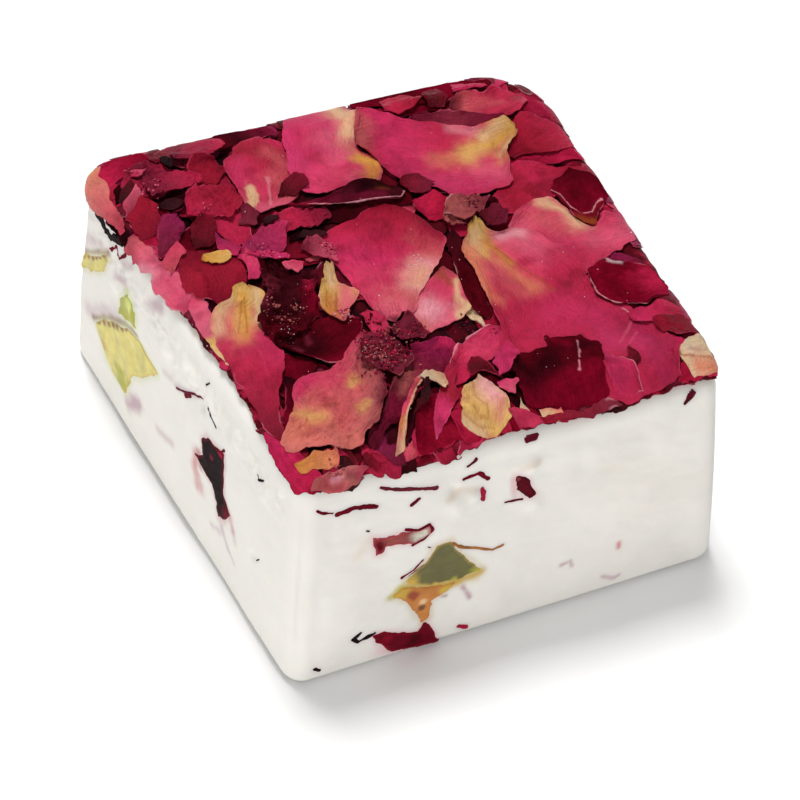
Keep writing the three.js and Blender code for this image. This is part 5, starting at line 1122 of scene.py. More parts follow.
def maths(tree, operation, a, b):
    """The result of a sum on two values or sockets."""
    node = add_node(tree, "ShaderNodeMath", operation=operation)
    for socket, value in zip(node.inputs, (a, b)):
        if isinstance(value, (int, float)):
            socket.default_value = value
        else:
            tree.links.new(value, socket)
    return node.outputs[0]


def scaled_colour(tree, colour, factor):
    """A colour times a value."""
    node = add_node(tree, "ShaderNodeVectorMath", operation="SCALE")
    tree.links.new(colour, node.inputs[0])
    tree.links.new(factor, node.inputs["Scale"])
    return node.outputs[0]


def set_inputs(shader, gloss, glow, radius, scale):
    """How much a surface shines, and how far light goes into it: share, radius of each colour, scale."""
    for key, value in (("Specular IOR Level", gloss), ("Subsurface Weight", glow),
                       ("Subsurface Radius", radius), ("Subsurface Scale", scale)):
        shader.inputs[key].default_value = value


def bump(tree, shader, height, strength, distance):
    """Gives a surface fine relief."""
    node = add_node(tree, "ShaderNodeBump", Strength=strength, Distance=distance)
    tree.links.new(height, node.inputs["Height"])
    tree.links.new(node.outputs["Normal"], shader.inputs["Normal"])


def attribute(tree, name, output):
    """A value that the mesh holds for each of its points."""
    return add_node(tree, "ShaderNodeAttribute", attribute_name=name).outputs[output]


def petal_material(name, roughness, vein_depth, mottle, gloss, see_through):
    """Dried petal: veins run along it, with mottled colour, fine wrinkles and a satin sheen."""
    material, tree, shader = new_material(name)
    tint = attribute(tree, "tint", "Color")
    grain = attribute(tree, "grain", "Vector")
    veins = noise(tree, stretched(tree, grain, (0.35, 3.2, 5.0)), 1.0, 3.0, 0.6)
    blots = noise(tree, stretched(tree, grain, (1.0, 1.0, 5.0)), 1.3, 4.0, 0.6)
    cells = noise(tree, stretched(tree, grain, (0.8, 1.2, 5.0)), 3.2, 3.0, 0.6)
    pores = noise(tree, stretched(tree, grain, (1.0, 1.0, 5.0)), 9.0, 2.0, 0.6)
    shade = maths(tree, "MULTIPLY", ranged(tree, veins, 0.25, 0.75, 1 - vein_depth, 1 + vein_depth),
                  ranged(tree, blots, 0.3, 0.7, 1 - mottle, 1 + mottle))
    shade = maths(tree, "MULTIPLY", shade, ranged(tree, cells, 0.3, 0.7, 1 - mottle, 1 + mottle))
    tree.links.new(scaled_colour(tree, tint, shade), shader.inputs["Base Color"])
    uneven = ranged(tree, blots, 0.3, 0.7, roughness - 0.1, roughness + 0.12)
    tree.links.new(uneven, shader.inputs["Roughness"])
    fine = maths(tree, "ADD", cells, maths(tree, "MULTIPLY", pores, 0.35))
    bump(tree, shader, maths(tree, "ADD", maths(tree, "MULTIPLY", veins, 0.35), fine), 0.8, 0.00026)
    set_inputs(shader, gloss, see_through, (0.6, 0.15, 0.1), 0.3 * MM)
    return material


def nougat_material():
    """Chewy white nougat: cloudy, softly lit from within, with fine drag marks from the knife."""
    material, tree, shader = new_material("nougat_white")
    tint = attribute(tree, "tint", "Color")
    place = add_node(tree, "ShaderNodeTexCoord").outputs["Object"]
    clouding = noise(tree, place, 220.0, 4.0, 0.6)
    pits = noise(tree, place, 1500.0, 3.0, 0.6)
    drag = noise(tree, stretched(tree, place, (260.0, 260.0, 900.0)), 1.0, 3.0, 0.5)
    tree.links.new(scaled_colour(tree, tint, ranged(tree, clouding, 0.3, 0.7, 0.97, 1.02)),
                   shader.inputs["Base Color"])
    tree.links.new(ranged(tree, clouding, 0.3, 0.7, 0.42, 0.58), shader.inputs["Roughness"])
    bump(tree, shader, maths(tree, "ADD", drag, maths(tree, "MULTIPLY", pits, 0.3)), 0.35, 0.00018)
    set_inputs(shader, 0.35, 0.35, (1.0, 0.75, 0.55), 1.4 * MM)
    return material


def nut_material(name, roughness, gloss):
    """Cut pistachio or its skin: waxy, finely mottled."""
    material, tree, shader = new_material(name)
    tint = attribute(tree, "tint", "Color")
    place = add_node(tree, "ShaderNodeTexCoord").outputs["Object"]
    blots = noise(tree, place, 900.0, 4.0, 0.6)
    fibres = noise(tree, stretched(tree, place, (700.0, 700.0, 2600.0)), 1.0, 3.0, 0.5)
    tree.links.new(scaled_colour(tree, tint, ranged(tree, blots, 0.3, 0.7, 0.94, 1.05)),
                   shader.inputs["Base Color"])
    uneven = ranged(tree, blots, 0.3, 0.7, roughness - 0.08, roughness + 0.1)
    tree.links.new(uneven, shader.inputs["Roughness"])
    bump(tree, shader, maths(tree, "ADD", fibres, blots), 0.4, 0.00015)
    set_inputs(shader, gloss, 0.25, (0.8, 0.8, 0.3), 0.6 * MM)
    return material


# ---------------------------------------------------------------- the nougat's faces

# A turn that brings the front face to each side.
SIDE_TURNS = {"front": 0.0, "right": math.pi / 2, "back": math.pi, "left": -math.pi / 2}
SIDE_SEEDS = {"front": 300, "right": 320, "back": 340, "left": 360}
SIDE_STEPS = int(34 / BODY_SPACING)
ARC_STEPS = 12 // FINE
DIAGONAL = 0.7072
LEAST_ROUND = 0.05
HALO_REACH = 0.3
INSET_RISE, INSET_DEPTH = 0.05, 0.5
SHRED_RISE, SHRED_EDGE = 0.04, 0.08
FLAKE_EDGE, NUT_EDGE = 0.12, 0.25
PLATE_BORDER, PLATE_MARGIN, PLATE_LOWEST = 0.5, 0.25, 0.25
EDGE_DIP, EDGE_REACH = 0.16, 0.22

# Swellings and dents on the cut faces, by side: along, up, radius, height.
SWELLINGS = {
    "front": [
        (-5.0, 13.4, 0.8, 0.4), (-3.6, 13.9, 0.7, 0.35), (1.3, 15.2, 0.7, 0.4), (1.6, 11.5, 0.7, 0.3),
        (-5.3, 14.9, 0.5, -0.3), (-16.4, 0.4, 0.5, -0.5), (9.5, 9.0, 2.5, 0.2), (-13.0, 6.5, 3.0, 0.2),
        (12.6, 14.6, 1.2, 0.25), (5.6, 13.8, 1.0, -0.2), (14.2, 6.0, 1.4, -0.2), (-1.4, 2.6, 1.2, 0.2),
    ],
    "left": [
        (3.5, 13.8, 0.5, -0.4), (9.0, 10.0, 1.4, 0.25), (-7.0, 12.8, 1.0, 0.3), (0.0, 3.0, 2.6, 0.2),
        (12.2, 7.3, 0.4, -0.3), (-2.4, 14.4, 0.9, 0.35), (1.2, 15.2, 0.8, 0.35), (5.4, 15.0, 0.9, 0.3),
        (-5.0, 15.0, 0.7, -0.25), (8.6, 15.2, 0.7, 0.3), (-10.8, 13.2, 0.8, 0.3), (12.8, 14.0, 1.2, 0.2),
    ],
    "right": [
        (-9.0, 12.0, 1.2, 0.3), (4.0, 5.0, 2.2, 0.2), (11.0, 14.0, 0.8, -0.3), (0.6, 12.6, 1.0, 0.25),
        (-12.4, 5.0, 1.4, 0.2), (8.6, 9.4, 1.0, -0.2),
    ],
    "back": [
        (-3.0, 13.0, 1.2, 0.3), (9.0, 5.0, 2.0, 0.2), (12.0, 12.0, 0.6, -0.3), (-9.6, 9.6, 1.2, 0.25),
        (4.4, 14.6, 0.9, 0.25), (-12.8, 4.0, 1.0, -0.2),
    ],
}


def face_relief(side, along, up):
    """How far a cut face stands out from the ideal one, in millimetres."""
    seed = SIDE_SEEDS[side]
    relief = 0.15 * clouds(along, up, 7.0, seed, 2) + 0.06 * clouds(along, up * 1.6, 1.9, seed + 4, 2)
    if side == "left":
        relief = relief + 0.22 * ridges(along, up, 1.1, seed + 9) * smooth(up, 12.0, 15.5)
    for mark_along, mark_up, radius, height in SWELLINGS[side]:
        away = np.hypot(along - mark_along, up - mark_up) / radius
        relief = relief + height * np.exp(-away ** 2)
    keep = smooth(up, 0.2, 1.6) * (1 - smooth(up, BLOCK_HEIGHT - 2.6, BLOCK_HEIGHT - 1.2))
    keep = keep * (1 - smooth(np.abs(along), 15.2, 16.8))
    return FACE_BULGE * np.sin(np.clip(up / BLOCK_HEIGHT, 0, 1) * math.pi) + relief * keep


def on_side(side, along, up, proud):
    """Points at a height proud of the nougat's real face."""
    out = -HALF_SIDE - face_relief(side, along, up) - proud
    turn = SIDE_TURNS[side]
    x = along * math.cos(turn) - out * math.sin(turn)
    y = along * math.sin(turn) + out * math.cos(turn)
    return hand_cut(np.stack([x, y, up + 0 * along], -1))


def outline_distance(along, up, outline):
    """Distance to a closed outline, negative inside it."""
    inside = np.zeros(np.shape(along), bool)
    nearest = np.full(np.shape(along), 1e9)
    for (x0, y0), (x1, y1) in zip(outline, outline[1:] + outline[:1]):
        crosses = ((y0 > up) != (y1 > up)) & (along < (x1 - x0) * (up - y0) / (y1 - y0 + 1e-12) + x0)
        inside ^= crosses
        nearest = np.minimum(nearest, line_distance(along, up, [(x0, y0), (x1, y1)]))
    return np.where(inside, -nearest, nearest)


def line_distance(along, up, line):
    """Distance to an open line of points."""
    nearest = np.full(np.shape(along), 1e9)
    for (x0, y0), (x1, y1) in zip(line, line[1:]):
        span = (x1 - x0) ** 2 + (y1 - y0) ** 2
        k = np.clip(((along - x0) * (x1 - x0) + (up - y0) * (y1 - y0)) / (span + 1e-12), 0, 1)
        nearest = np.minimum(nearest, np.hypot(along - x0 - k * (x1 - x0), up - y0 - k * (y1 - y0)))
    return nearest


def inset(node, side, colour, edge, halo, outline, shades):
    """A piece set in a cut face, with its rim's colour and the one that it lends the nougat round it."""
    return {"node": node, "side": side, "colour": colour, "edge": edge, "halo": halo, "outline": outline,
            "shades": shades}


# Pieces set in the cut faces, with outlines close to those of the CAD source. The second list has the
# colour places on the piece: along, up, radius, colour.
INSETS = [
    inset("pistachio_front", "front", "green", "gold", "gold",
          [(-8.6, 7.0), (-6.8, 6.35), (-4.6, 6.1), (-2.5, 6.4), (-3.6, 7.7), (-4.6, 9.0), (-5.4, 10.4),
           (-6.6, 10.3), (-7.6, 8.9), (-9.3, 7.6)],
          [(-8.6, 7.2, 0.9, "gold"), (-3.0, 6.5, 0.8, "lime"), (-5.0, 6.3, 0.4, "lime"),
           (-6.6, 6.5, 0.3, "gold")]),
    inset("nut_skin_front", "front", "amber", "amber", "gold",
          [(-7.5, 2.7), (-6.8, 3.0), (-6.7, 4.7), (-5.4, 5.4), (-4.6, 6.1), (-6.8, 6.35), (-8.6, 7.0),
           (-9.6, 7.1), (-10.2, 6.5), (-8.9, 5.4), (-8.1, 4.2)],
          # Painted highlight: the small cream spot on the skin's curl.
          [(-7.5, 5.1, 0.4, "cream"), (-9.3, 6.5, 0.8, "gold"), (-5.6, 5.9, 0.7, "gold"),
           (-7.2, 3.3, 0.6, "amber"), (-8.3, 6.0, 0.6, "rust"), (-7.6, 4.5, 0.35, "bark")]),
    inset("flake_front_base", "front", "wine", "red", "blush",
          [(-9.9, 0.9), (-8.0, 0.5), (-6.0, 0.4), (-6.7, 2.2), (-7.1, 3.0), (-7.7, 1.9), (-9.0, 2.5),
           (-10.4, 3.2), (-11.6, 3.2), (-10.9, 1.9)],
          [(-8.0, 1.4, 0.8, "maroon"), (-10.4, 2.4, 0.6, "red")]),
    inset("flake_front_fold", "front", "dusty", "coral", "blush",
          [(-11.6, 10.9), (-10.9, 10.9), (-10.8, 11.4), (-9.6, 11.2), (-8.4, 11.0), (-7.3, 11.6),
           (-7.2, 12.4), (-8.0, 12.3), (-9.4, 12.3), (-10.8, 12.2), (-11.9, 12.5)],
          [(-11.5, 11.6, 0.8, "wine"), (-8.0, 11.8, 0.9, "nougat_warm")]),
    inset("flake_front_spot", "front", "flake", "maroon", "blush",
          [(0.1, 13.2), (1.2, 12.2), (1.7, 12.4), (1.1, 14.0), (0.2, 14.7), (-0.2, 14.6)],
          [(0.0, 14.4, 0.4, "dusty")]),
    inset("pistachio_left", "left", "straw", "gold", "leaf",
          [(-13.1, 6.7), (-11.6, 4.5), (-9.8, 3.8), (-7.9, 4.0), (-6.8, 6.8), (-5.3, 8.2), (-3.2, 10.6),
           (-6.4, 11.4), (-8.4, 10.7), (-10.2, 9.5), (-11.8, 8.3)],
          # Painted shade: the row of bark spots along the nut's top edge.
          [*[(-12.6 + 0.7 * step, 7.5 + 0.52 * step, 0.45, "bark") for step in range(8)],
           (-8.6, 4.6, 1.6, "lime"), (-11.8, 5.4, 0.8, "gold")]),
    inset("pistachio_left_upper", "left", "lime", "lime", "leaf",
          [(-9.9, 10.8), (-8.6, 11.2), (-6.5, 12.3), (-6.9, 13.6), (-8.8, 14.0), (-9.9, 12.4)],
          [(-8.4, 13.2, 0.8, "leaf")]),
    inset("pistachio_left_back", "left", "straw", "gold", "straw",
          [(-16.2, 9.9), (-14.4, 10.9), (-12.6, 12.7), (-11.8, 14.6), (-12.4, 14.8), (-14.3, 12.9),
           (-16.0, 11.3)],
          # Painted shade: the row of bark spots along the nut's top edge.
          [(-15.8 + 0.6 * step, 11.4 + 0.57 * step, 0.4, "bark") for step in range(7)]),
    inset("flake_left_shard", "left", "soot", "wine", "coral",
          [(3.0, 8.6), (4.2, 8.3), (5.6, 8.0), (6.5, 7.1), (6.8, 5.9), (7.6, 6.3), (8.8, 7.9), (7.4, 8.6),
           (7.2, 10.8), (7.0, 12.2), (5.6, 11.8), (4.6, 11.8), (3.9, 10.9), (4.1, 9.6)],
          [(8.2, 7.4, 0.9, "wine"), (3.3, 8.5, 0.6, "crimson"), (4.6, 11.0, 0.8, "black"),
           (6.8, 6.2, 0.4, "wine"), (6.6, 12.0, 0.5, "crimson"), (5.4, 10.4, 0.35, "dusk")]),
    inset("pistachio_right", "right", "green", "lime", "leaf",
          [(-6.4, 7.2), (-3.6, 6.0), (-0.6, 7.4), (-1.6, 9.6), (-5.2, 9.8)],
          [(-3.6, 6.6, 1.0, "gold")]),
    inset("flake_right", "right", "flake", "wine", "blush",
          [(6.2, 11.7), (7.3, 12.0), (8.6, 11.3), (9.8, 11.3), (10.2, 12.4), (8.9, 12.5), (7.0, 13.0)],
          [(7.5, 12.3, 0.6, "maroon")]),
    inset("pistachio_back", "back", "straw", "gold", "leaf",
          [(2.0, 9.2), (5.6, 8.4), (8.0, 10.2), (6.0, 12.4), (2.8, 11.8)],
          [(4.0, 11.6, 0.9, "leaf")]),
    inset("flake_back", "back", "flake", "wine", "blush",
          [(-9.9, 5.5), (-8.4, 5.6), (-6.8, 4.7), (-6.1, 4.8), (-5.6, 6.0), (-7.2, 6.2), (-8.7, 7.0)],
          [(-7.5, 5.6, 0.7, "wine")]),
]

# Thin petal shreds cut through by the knife, by side: half width, colour, line.
SHREDS = {
    "front": [
        (0.11, "wine", [(-16.6, 16.4), (-16.2, 16.1), (-15.3, 15.8)]),
        (0.2, "wine", [(-14.9, 15.6), (-13.8, 15.7), (-12.8, 15.6), (-11.6, 15.3)]),
        (0.15, "dusk", [(-11.4, 17.0), (-10.0, 16.4), (-8.6, 16.1), (-6.8, 15.7)]),
        (0.15, "wine", [(-8.8, 14.7), (-8.2, 15.1)]), (0.14, "plum", [(-4.2, 16.8), (-3.5, 17.2)]),
        (0.17, "wine", [(-4.5, 15.7), (-3.2, 15.9), (-2.4, 15.2)]),
        (0.25, "crimson", [(-2.9, 14.3), (-2.7, 13.4)]), (0.12, "plum", [(0.9, 17.6), (1.6, 17.7)]),
        (0.12, "plum", [(14.5, 17.3), (15.2, 17.8)]), (0.11, "plum", [(-0.8, 12.3), (0.6, 12.2)]),
        (0.12, "wine", [(-9.2, 12.5), (-8.2, 12.2), (-7.3, 12.5), (-7.0, 11.9), (-7.6, 11.2),
                        (-8.6, 10.9)]),
        (0.1, "wine", [(-9.4, 8.1), (-8.4, 8.5), (-7.7, 9.2)]), (0.05, "dusk", [(-8.9, 8.0), (-7.6, 8.7)]),
        (0.13, "tan", [(-5.3, 10.0), (-4.3, 9.2), (-2.8, 8.6), (-1.8, 8.1), (-0.9, 8.3)]),
        (0.15, "soot", [(-12.6, 3.9), (-13.2, 3.4), (-12.7, 3.0), (-11.4, 3.4)]),
        (0.12, "wine", [(-7.5, 1.8), (-7.2, 2.6)]), (0.22, "crimson", [(-4.3, 1.3), (-3.7, 1.0)]),
        (0.07, "soot", [(-12.4, 13.3), (-12.2, 13.2)]), (0.09, "soot", [(-7.3, 10.3), (-7.1, 10.2)]),
        (0.16, "soot", [(-16.1, 1.5), (-15.8, 1.3)]),
    ],
    "left": [
        # Painted shadow under the overhanging corner petal, partly a dark petal: the wide black strip along
        # the top of the left face.
        (0.34, "black", [(-16.2, 17.3), (-15.0, 17.4), (-13.4, 17.0), (-12.2, 16.7), (-11.4, 17.2),
                         (-10.6, 17.6)]),
        (0.14, "wine", [(-11.6, 16.0), (-11.0, 16.8), (-10.2, 16.3), (-9.6, 17.2)]),
        (0.11, "plum", [(-0.3, 12.1), (1.0, 12.8), (2.2, 13.8), (3.4, 14.4)]),
        (0.17, "wine", [(1.0, 12.5), (1.7, 13.2)]), (0.12, "soot", [(4.7, 14.7), (4.9, 14.0), (5.6, 13.6)]),
        (0.09, "soot", [(12.0, 14.8), (12.6, 14.9), (13.1, 15.3)]),
        (0.05, "soot", [(12.8, 7.5), (13.2, 8.0)]), (0.08, "soot", [(3.7, 16.0), (4.2, 16.6)]),
        (0.1, "wine", [(5.4, 10.4), (6.2, 11.6), (7.0, 12.6)]),
    ],
    "right": [
        (0.13, "wine", [(-14.0, 15.4), (-12.2, 15.8), (-10.8, 15.4)]),
        (0.1, "crimson", [(-2.6, 14.0), (-0.8, 14.6), (0.6, 14.2)]),
        (0.12, "plum", [(10.4, 8.0), (11.6, 7.2)]), (0.1, "wine", [(2.0, 3.0), (3.4, 3.5)]),
        (0.14, "wine", [(-11.0, 4.0), (-9.6, 4.3)]),
    ],
    "back": [
        (0.12, "wine", [(-14.2, 13.4), (-12.6, 13.9), (-11.6, 13.5)]),
        (0.13, "crimson", [(-1.6, 15.6), (0.4, 15.2), (1.8, 15.5)]),
        (0.1, "plum", [(11.0, 14.0), (12.4, 14.6)]), (0.12, "wine", [(0.2, 4.0), (1.8, 3.4)]),
        (0.09, "soot", [(12.6, 6.0), (13.4, 6.4)]),
    ],
}

# Soft stains where a flake lies just under the nougat's face, and painted shade, by side: reach, strength,
# colour, line. The painted shade is noted where it stands.
STAINS_AND_SHADES = {
    "front": [
        (0.45, 0.95, "gold", [(-9.4, 7.0), (-8.6, 7.0), (-6.8, 6.3), (-4.6, 6.0), (-2.7, 6.2)]),
        (0.35, 0.7, "lime", [(-9.4, 6.9), (-10.2, 6.5)]), (0.3, 0.8, "amber", [(-9.0, 6.2), (-7.0, 5.6)]),
        (0.2, 0.8, "mauve", [(-4.2, 5.3), (-3.6, 4.1)]), (0.15, 0.6, "dusk", [(-5.8, 4.9), (-5.5, 4.8)]),
        (0.18, 0.7, "mauve", [(4.2, 4.4), (4.9, 4.6), (5.1, 4.0)]),
        (0.2, 0.7, "rose", [(9.1, 4.9), (9.1, 4.5)]),
        (0.2, 0.6, "mauve", [(7.8, 1.9), (8.8, 1.3), (9.2, 1.5)]),
        (0.6, 0.2, "cream", [(-13.0, 11.4), (-12.2, 12.4)]), (0.5, 0.3, "leaf", [(-9.9, 6.6), (-9.2, 7.3)]),
        # Painted shade: the two bone lines along the upper edges of swellings.
        (0.25, 0.4, "bone", [(-5.8, 14.2), (-4.6, 14.8), (-3.4, 14.5)]),
        (0.3, 0.35, "bone", [(0.6, 15.3), (1.8, 15.6)]), (0.25, 0.3, "coral", [(-0.3, 14.3), (0.0, 12.6)]),
        (0.6, 0.3, "blush", [(-11.0, 1.2), (-8.0, 0.6)]),
        # Painted shade: the wide warm wash that darkens the right part of the front face.
        (3.0, 0.2, "nougat_warm", [(9.0, 12.0), (14.0, 9.0)]),
    ],
    "left": [
        # Painted shade: the bark and mauve lines along the top edges of the two pistachios.
        (0.28, 0.75, "bark", [(-13.4, 6.9), (-12.0, 8.3), (-10.3, 9.7), (-8.5, 10.9), (-6.6, 11.6)]),
        (0.7, 0.35, "mauve", [(-14.2, 7.0), (-12.2, 8.8), (-10.2, 10.2)]),
        (0.28, 0.75, "bark", [(-16.3, 11.3), (-14.5, 13.0), (-13.4, 14.1), (-12.2, 15.0)]),
        (0.7, 0.35, "mauve", [(-16.4, 12.8), (-14.8, 14.0), (-13.2, 15.2)]),
        (0.7, 0.5, "mauve", [(-7.2, 3.6), (-5.8, 5.0)]), (0.6, 0.4, "mauve", [(-5.4, 15.8), (-3.8, 17.2)]),
        (0.5, 0.4, "mauve", [(-10.2, 14.4), (-9.0, 15.0)]),
        (0.4, 0.4, "mauve", [(-9.8, 16.2), (-8.6, 17.0)]),
        (0.5, 0.5, "coral", [(3.2, 8.8), (3.0, 7.2), (3.6, 6.0)]),
        (0.3, 0.5, "wine", [(3.6, 9.2), (4.0, 8.0)]), (0.3, 0.5, "rose", [(8.4, 7.8), (9.2, 6.8)]),
        (0.25, 0.5, "mauve", [(7.4, 5.6), (8.6, 4.4), (9.4, 3.9)]),
        (0.35, 0.4, "mauve", [(-2.6, 5.5), (-0.4, 6.2)]), (0.5, 0.4, "mauve", [(-7.4, 3.4), (-5.6, 5.2)]),
        (0.3, 0.3, "mauve", [(-2.4, 11.8), (-1.2, 12.2)]), (0.3, 0.35, "mauve", [(5.9, 4.2), (7.2, 4.8)]),
        (0.3, 0.35, "mauve", [(9.0, 7.2), (9.6, 6.2)]), (0.45, 0.45, "coral", [(3.0, 7.6), (4.2, 6.2)]),
        (0.3, 0.3, "mauve", [(-10.5, 14.0), (-9.2, 14.6)]),
        (0.5, 0.25, "mauve", [(-5.4, 16.3), (-3.6, 17.0)]),
        (0.6, 0.5, "leaf", [(-8.6, 13.8), (-8.0, 14.2)]),
        (0.25, 0.35, "mauve", [(-0.4, 12.2), (3.2, 14.3)]),
    ],
    "right": [
        (0.5, 0.3, "mauve", [(-12.0, 8.0), (-10.5, 9.0)]), (0.4, 0.35, "rose", [(6.0, 6.4), (6.6, 6.2)]),
    ],
    "back": [
        (0.5, 0.3, "mauve", [(10.0, 8.0), (11.5, 8.6)]), (0.4, 0.3, "rose", [(-4.0, 10.0), (-3.2, 9.6)]),
    ],
}


def stained_and_shaded(side, along, up, tint):
    """The nougat's tint with its stains, the halos of what is set in that side, and painted shade, with a
    painted contact shadow at the base.
    """
    # Painted contact shadow: the nougat greys towards its wavy base, where it meets the floor.
    base = up - 0.2 * clouds(along, 0 * up, 7.0, 440, 2)
    tint = blend(tint, linear("painted_base_shade"), 0.6 * (1 - smooth(base, 0.15, 0.7)))
    for reach, strength, name, line in STAINS_AND_SHADES[side]:
        away = line_distance(along, up, line) + 0.3 * reach * clouds(along, up, 0.8, 410)
        tint = blend(tint, linear(name), strength * np.exp(-(np.maximum(away, 0) / reach) ** 2))
    for piece in INSETS:
        if piece["side"] == side:
            away = outline_distance(along, up, piece["outline"]) + 0.12 * clouds(along, up, 0.7, 430)
            halo = 0.3 * np.exp(-(np.maximum(away, 0) / HALO_REACH) ** 2)
            tint = blend(tint, linear(piece["halo"]), halo)
    for half, _, line in SHREDS[side]:
        away = line_distance(along, up, line)
        tint = blend(tint, linear("mauve"), 0.25 * np.exp(-(away / (half + 0.1)) ** 2))
    return tint


def block_ring(inset):
    """Points round the square drawn in by inset, with the direction outwards at each."""
    rounds = [max(corner["radius"] - inset, LEAST_ROUND) for corner in CORNERS]
    centres = [[sign * (HALF_SIDE - inset - round_) for sign in corner["side"]]
               for corner, round_ in zip(CORNERS, rounds)]

    def rounding(corner, angle):
        out = (math.cos(angle), math.sin(angle))
        return [centres[corner][k] + rounds[corner] * out[k] for k in (0, 1)], out

    ring = []
    for corner in range(4):
        start = math.pi + corner * math.pi / 2
        ring += [rounding(corner, start + step / ARC_STEPS * math.pi / 2) for step in range(ARC_STEPS + 1)]
        origin, _ = ring[-1]
        goal, out = rounding((corner + 1) % 4, start + math.pi / 2)
        for step in range(1, SIDE_STEPS):
            share = step / SIDE_STEPS
            ring.append(([origin[k] + (goal[k] - origin[k]) * share for k in (0, 1)], out))
    points, outs = zip(*ring)
    return np.array(points), np.array(outs)


def block_levels():
    """Heights of the block's rings, with how far each is drawn in at the base and the rim."""
    levels = [(BASE_RADIUS * (1 - math.cos(a)), BASE_RADIUS * (1 - math.sin(a)))
              for a in np.linspace(0, math.pi / 2, 6)]
    upright = int((BLOCK_HEIGHT - BASE_RADIUS - RIM_RADIUS) / BODY_SPACING)
    levels += [(z, 0.0) for z in np.linspace(BASE_RADIUS, BLOCK_HEIGHT - RIM_RADIUS, upright)[1:-1]]
    levels += [(BLOCK_HEIGHT - RIM_RADIUS * (1 - math.sin(a)), RIM_RADIUS * (1 - math.cos(a)))
               for a in np.linspace(0, math.pi / 2, 7)]
    return levels


def level_ring(z, inset):
    """The points of one level's ring, and their colours."""
    flat, outs = block_ring(inset)
    relief = np.zeros(len(flat))
    tint = plain_tint("nougat", relief)
    for side, turn in SIDE_TURNS.items():
        facing = outs[:, 0] * math.sin(turn) - outs[:, 1] * math.cos(turn)
        here = facing > DIAGONAL
        along = flat[:, 0] * math.cos(turn) + flat[:, 1] * math.sin(turn)
        up = np.full(here.sum(), z)
        relief[here] = face_relief(side, along[here], up)
        tint[here] = stained_and_shaded(side, along[here], up, tint[here])
    return hand_cut(np.column_stack([flat + outs * relief[:, None], np.full(len(flat), z)])), tint


def closing_ring(ring, share):
    """A ring drawn towards its middle, for the base and the top."""
    middle = ring.mean(0)
    return middle + (ring - middle) * share, plain_tint("nougat", ring[:, 0])


def cap_faces(ring, order):
    """Faces that close a small ring."""
    count = len(ring)
    return [[ring[k], ring[k + 1], ring[count - 2 - k], ring[count - 1 - k]][::order]
            for k in range(count // 2 - 1)]


def nougat_body(material):
    """The whole block as one fine closed mesh, with a plain top under the petals."""
    rings = [level_ring(z, inset) for z, inset in block_levels()]
    base, top = rings[0][0], rings[-1][0]
    rings = [closing_ring(base, 0.02), closing_ring(base, 0.5), *rings, closing_ring(top, 0.5),
             closing_ring(top, 0.02)]
    count = len(base)
    index = np.arange(len(rings) * count).reshape(len(rings), count)
    after = np.roll(index, -1, 1)
    faces = np.stack([index[:-1], after[:-1], after[1:], index[1:]], -1).reshape(-1, 4)
    faces = np.concatenate([faces, np.array(cap_faces(index[0], -1) + cap_faces(index[-1], 1))])
    points = np.concatenate([ring for ring, _ in rings])
    tint = np.concatenate([ring_tint for _, ring_tint in rings])
    tint = tint * (1 + 0.02 * clouds(points[:, 0] + points[:, 1], points[:, 2], 5.0, 470))[:, None]
    make_piece("nougat_body", points, faces, np.clip(tint, 0, 1), points, material,
               ["nougat_block"])


def plate(pieces, side, distance_to, line, colour_at, rise, edge):
    """A flat piece about a line in a cut face, wherever distance_to is negative. Its edges dip in."""
    (low_along, low_up), (high_along, high_up) = np.min(line, 0), np.max(line, 0)
    run = np.arange(low_along - PLATE_BORDER, high_along + PLATE_BORDER, PLATE_SPACING)
    climb = np.arange(max(low_up - PLATE_BORDER, PLATE_LOWEST), high_up + PLATE_BORDER, PLATE_SPACING)
    along, up = np.meshgrid(run, climb, indexing="ij")
    away = distance_to(along, up)
    proud = rise - (rise + EDGE_DIP) * smooth(away, -edge, EDGE_REACH)
    over = on_side(side, along, up, proud)
    under = on_side(side, along, up, np.full_like(along, -INSET_DEPTH))
    pieces.add_cutout(under, over, colour_at(along, up, away), away < PLATE_MARGIN)


def inset_piece(piece, material):
    """One nut or flake, in the place of its CAD node."""
    outline = piece["outline"]
    seed = 500 + int(abs(outline[0][0]) * 10)
    edge = FLAKE_EDGE if "flake" in piece["node"] else NUT_EDGE

    def distance_to(along, up):
        rough = 0.1 * clouds(along, up, 0.9, seed) + 0.05 * clouds(along, up, 0.3, seed + 3)
        return outline_distance(along, up, outline) + rough

    def colour_at(along, up, away):
        tint = plain_tint(piece["colour"], along)
        for shade_along, shade_up, radius, name in piece["shades"]:
            near = np.hypot(along - shade_along, up - shade_up)
            near = near + 0.3 * radius * clouds(along, up, 0.8, seed + 6)
            tint = blend(tint, linear(name), 1 - smooth(near, 0.3 * radius, 1.2 * radius))
        tint = blend(tint, linear(piece["edge"]), 0.8 * smooth(away, -0.35, -0.02))
        return tint * (1 + 0.12 * clouds(along, up, 0.8, seed + 9))[..., None]

    pieces = Pieces()
    plate(pieces, piece["side"], distance_to, outline, colour_at, INSET_RISE, edge)
    pieces.make("inset_" + piece["node"], material, [piece["node"]])


def shred_pieces(material):
    """The thin petal shreds in all four cut faces, as one piece."""
    pieces = Pieces()
    every = [(side, *shred) for side, shreds in SHREDS.items() for shred in shreds]
    for number, (side, half, name, line) in enumerate(every):
        seed = 700 + number * 7

        def distance_to(along, up):
            return line_distance(along, up, line) - half * (1 + 0.45 * clouds(along, up, 0.5, seed, 2))

        def colour_at(along, up, away):
            return plain_tint(name, along) * (1 + 0.25 * clouds(along, up, 0.5, seed + 3))[..., None]

        plate(pieces, side, distance_to, line, colour_at, SHRED_RISE, SHRED_EDGE)
    pieces.make("petal_shreds", material)


# ---------------------------------------------------------------- the bed of fragments

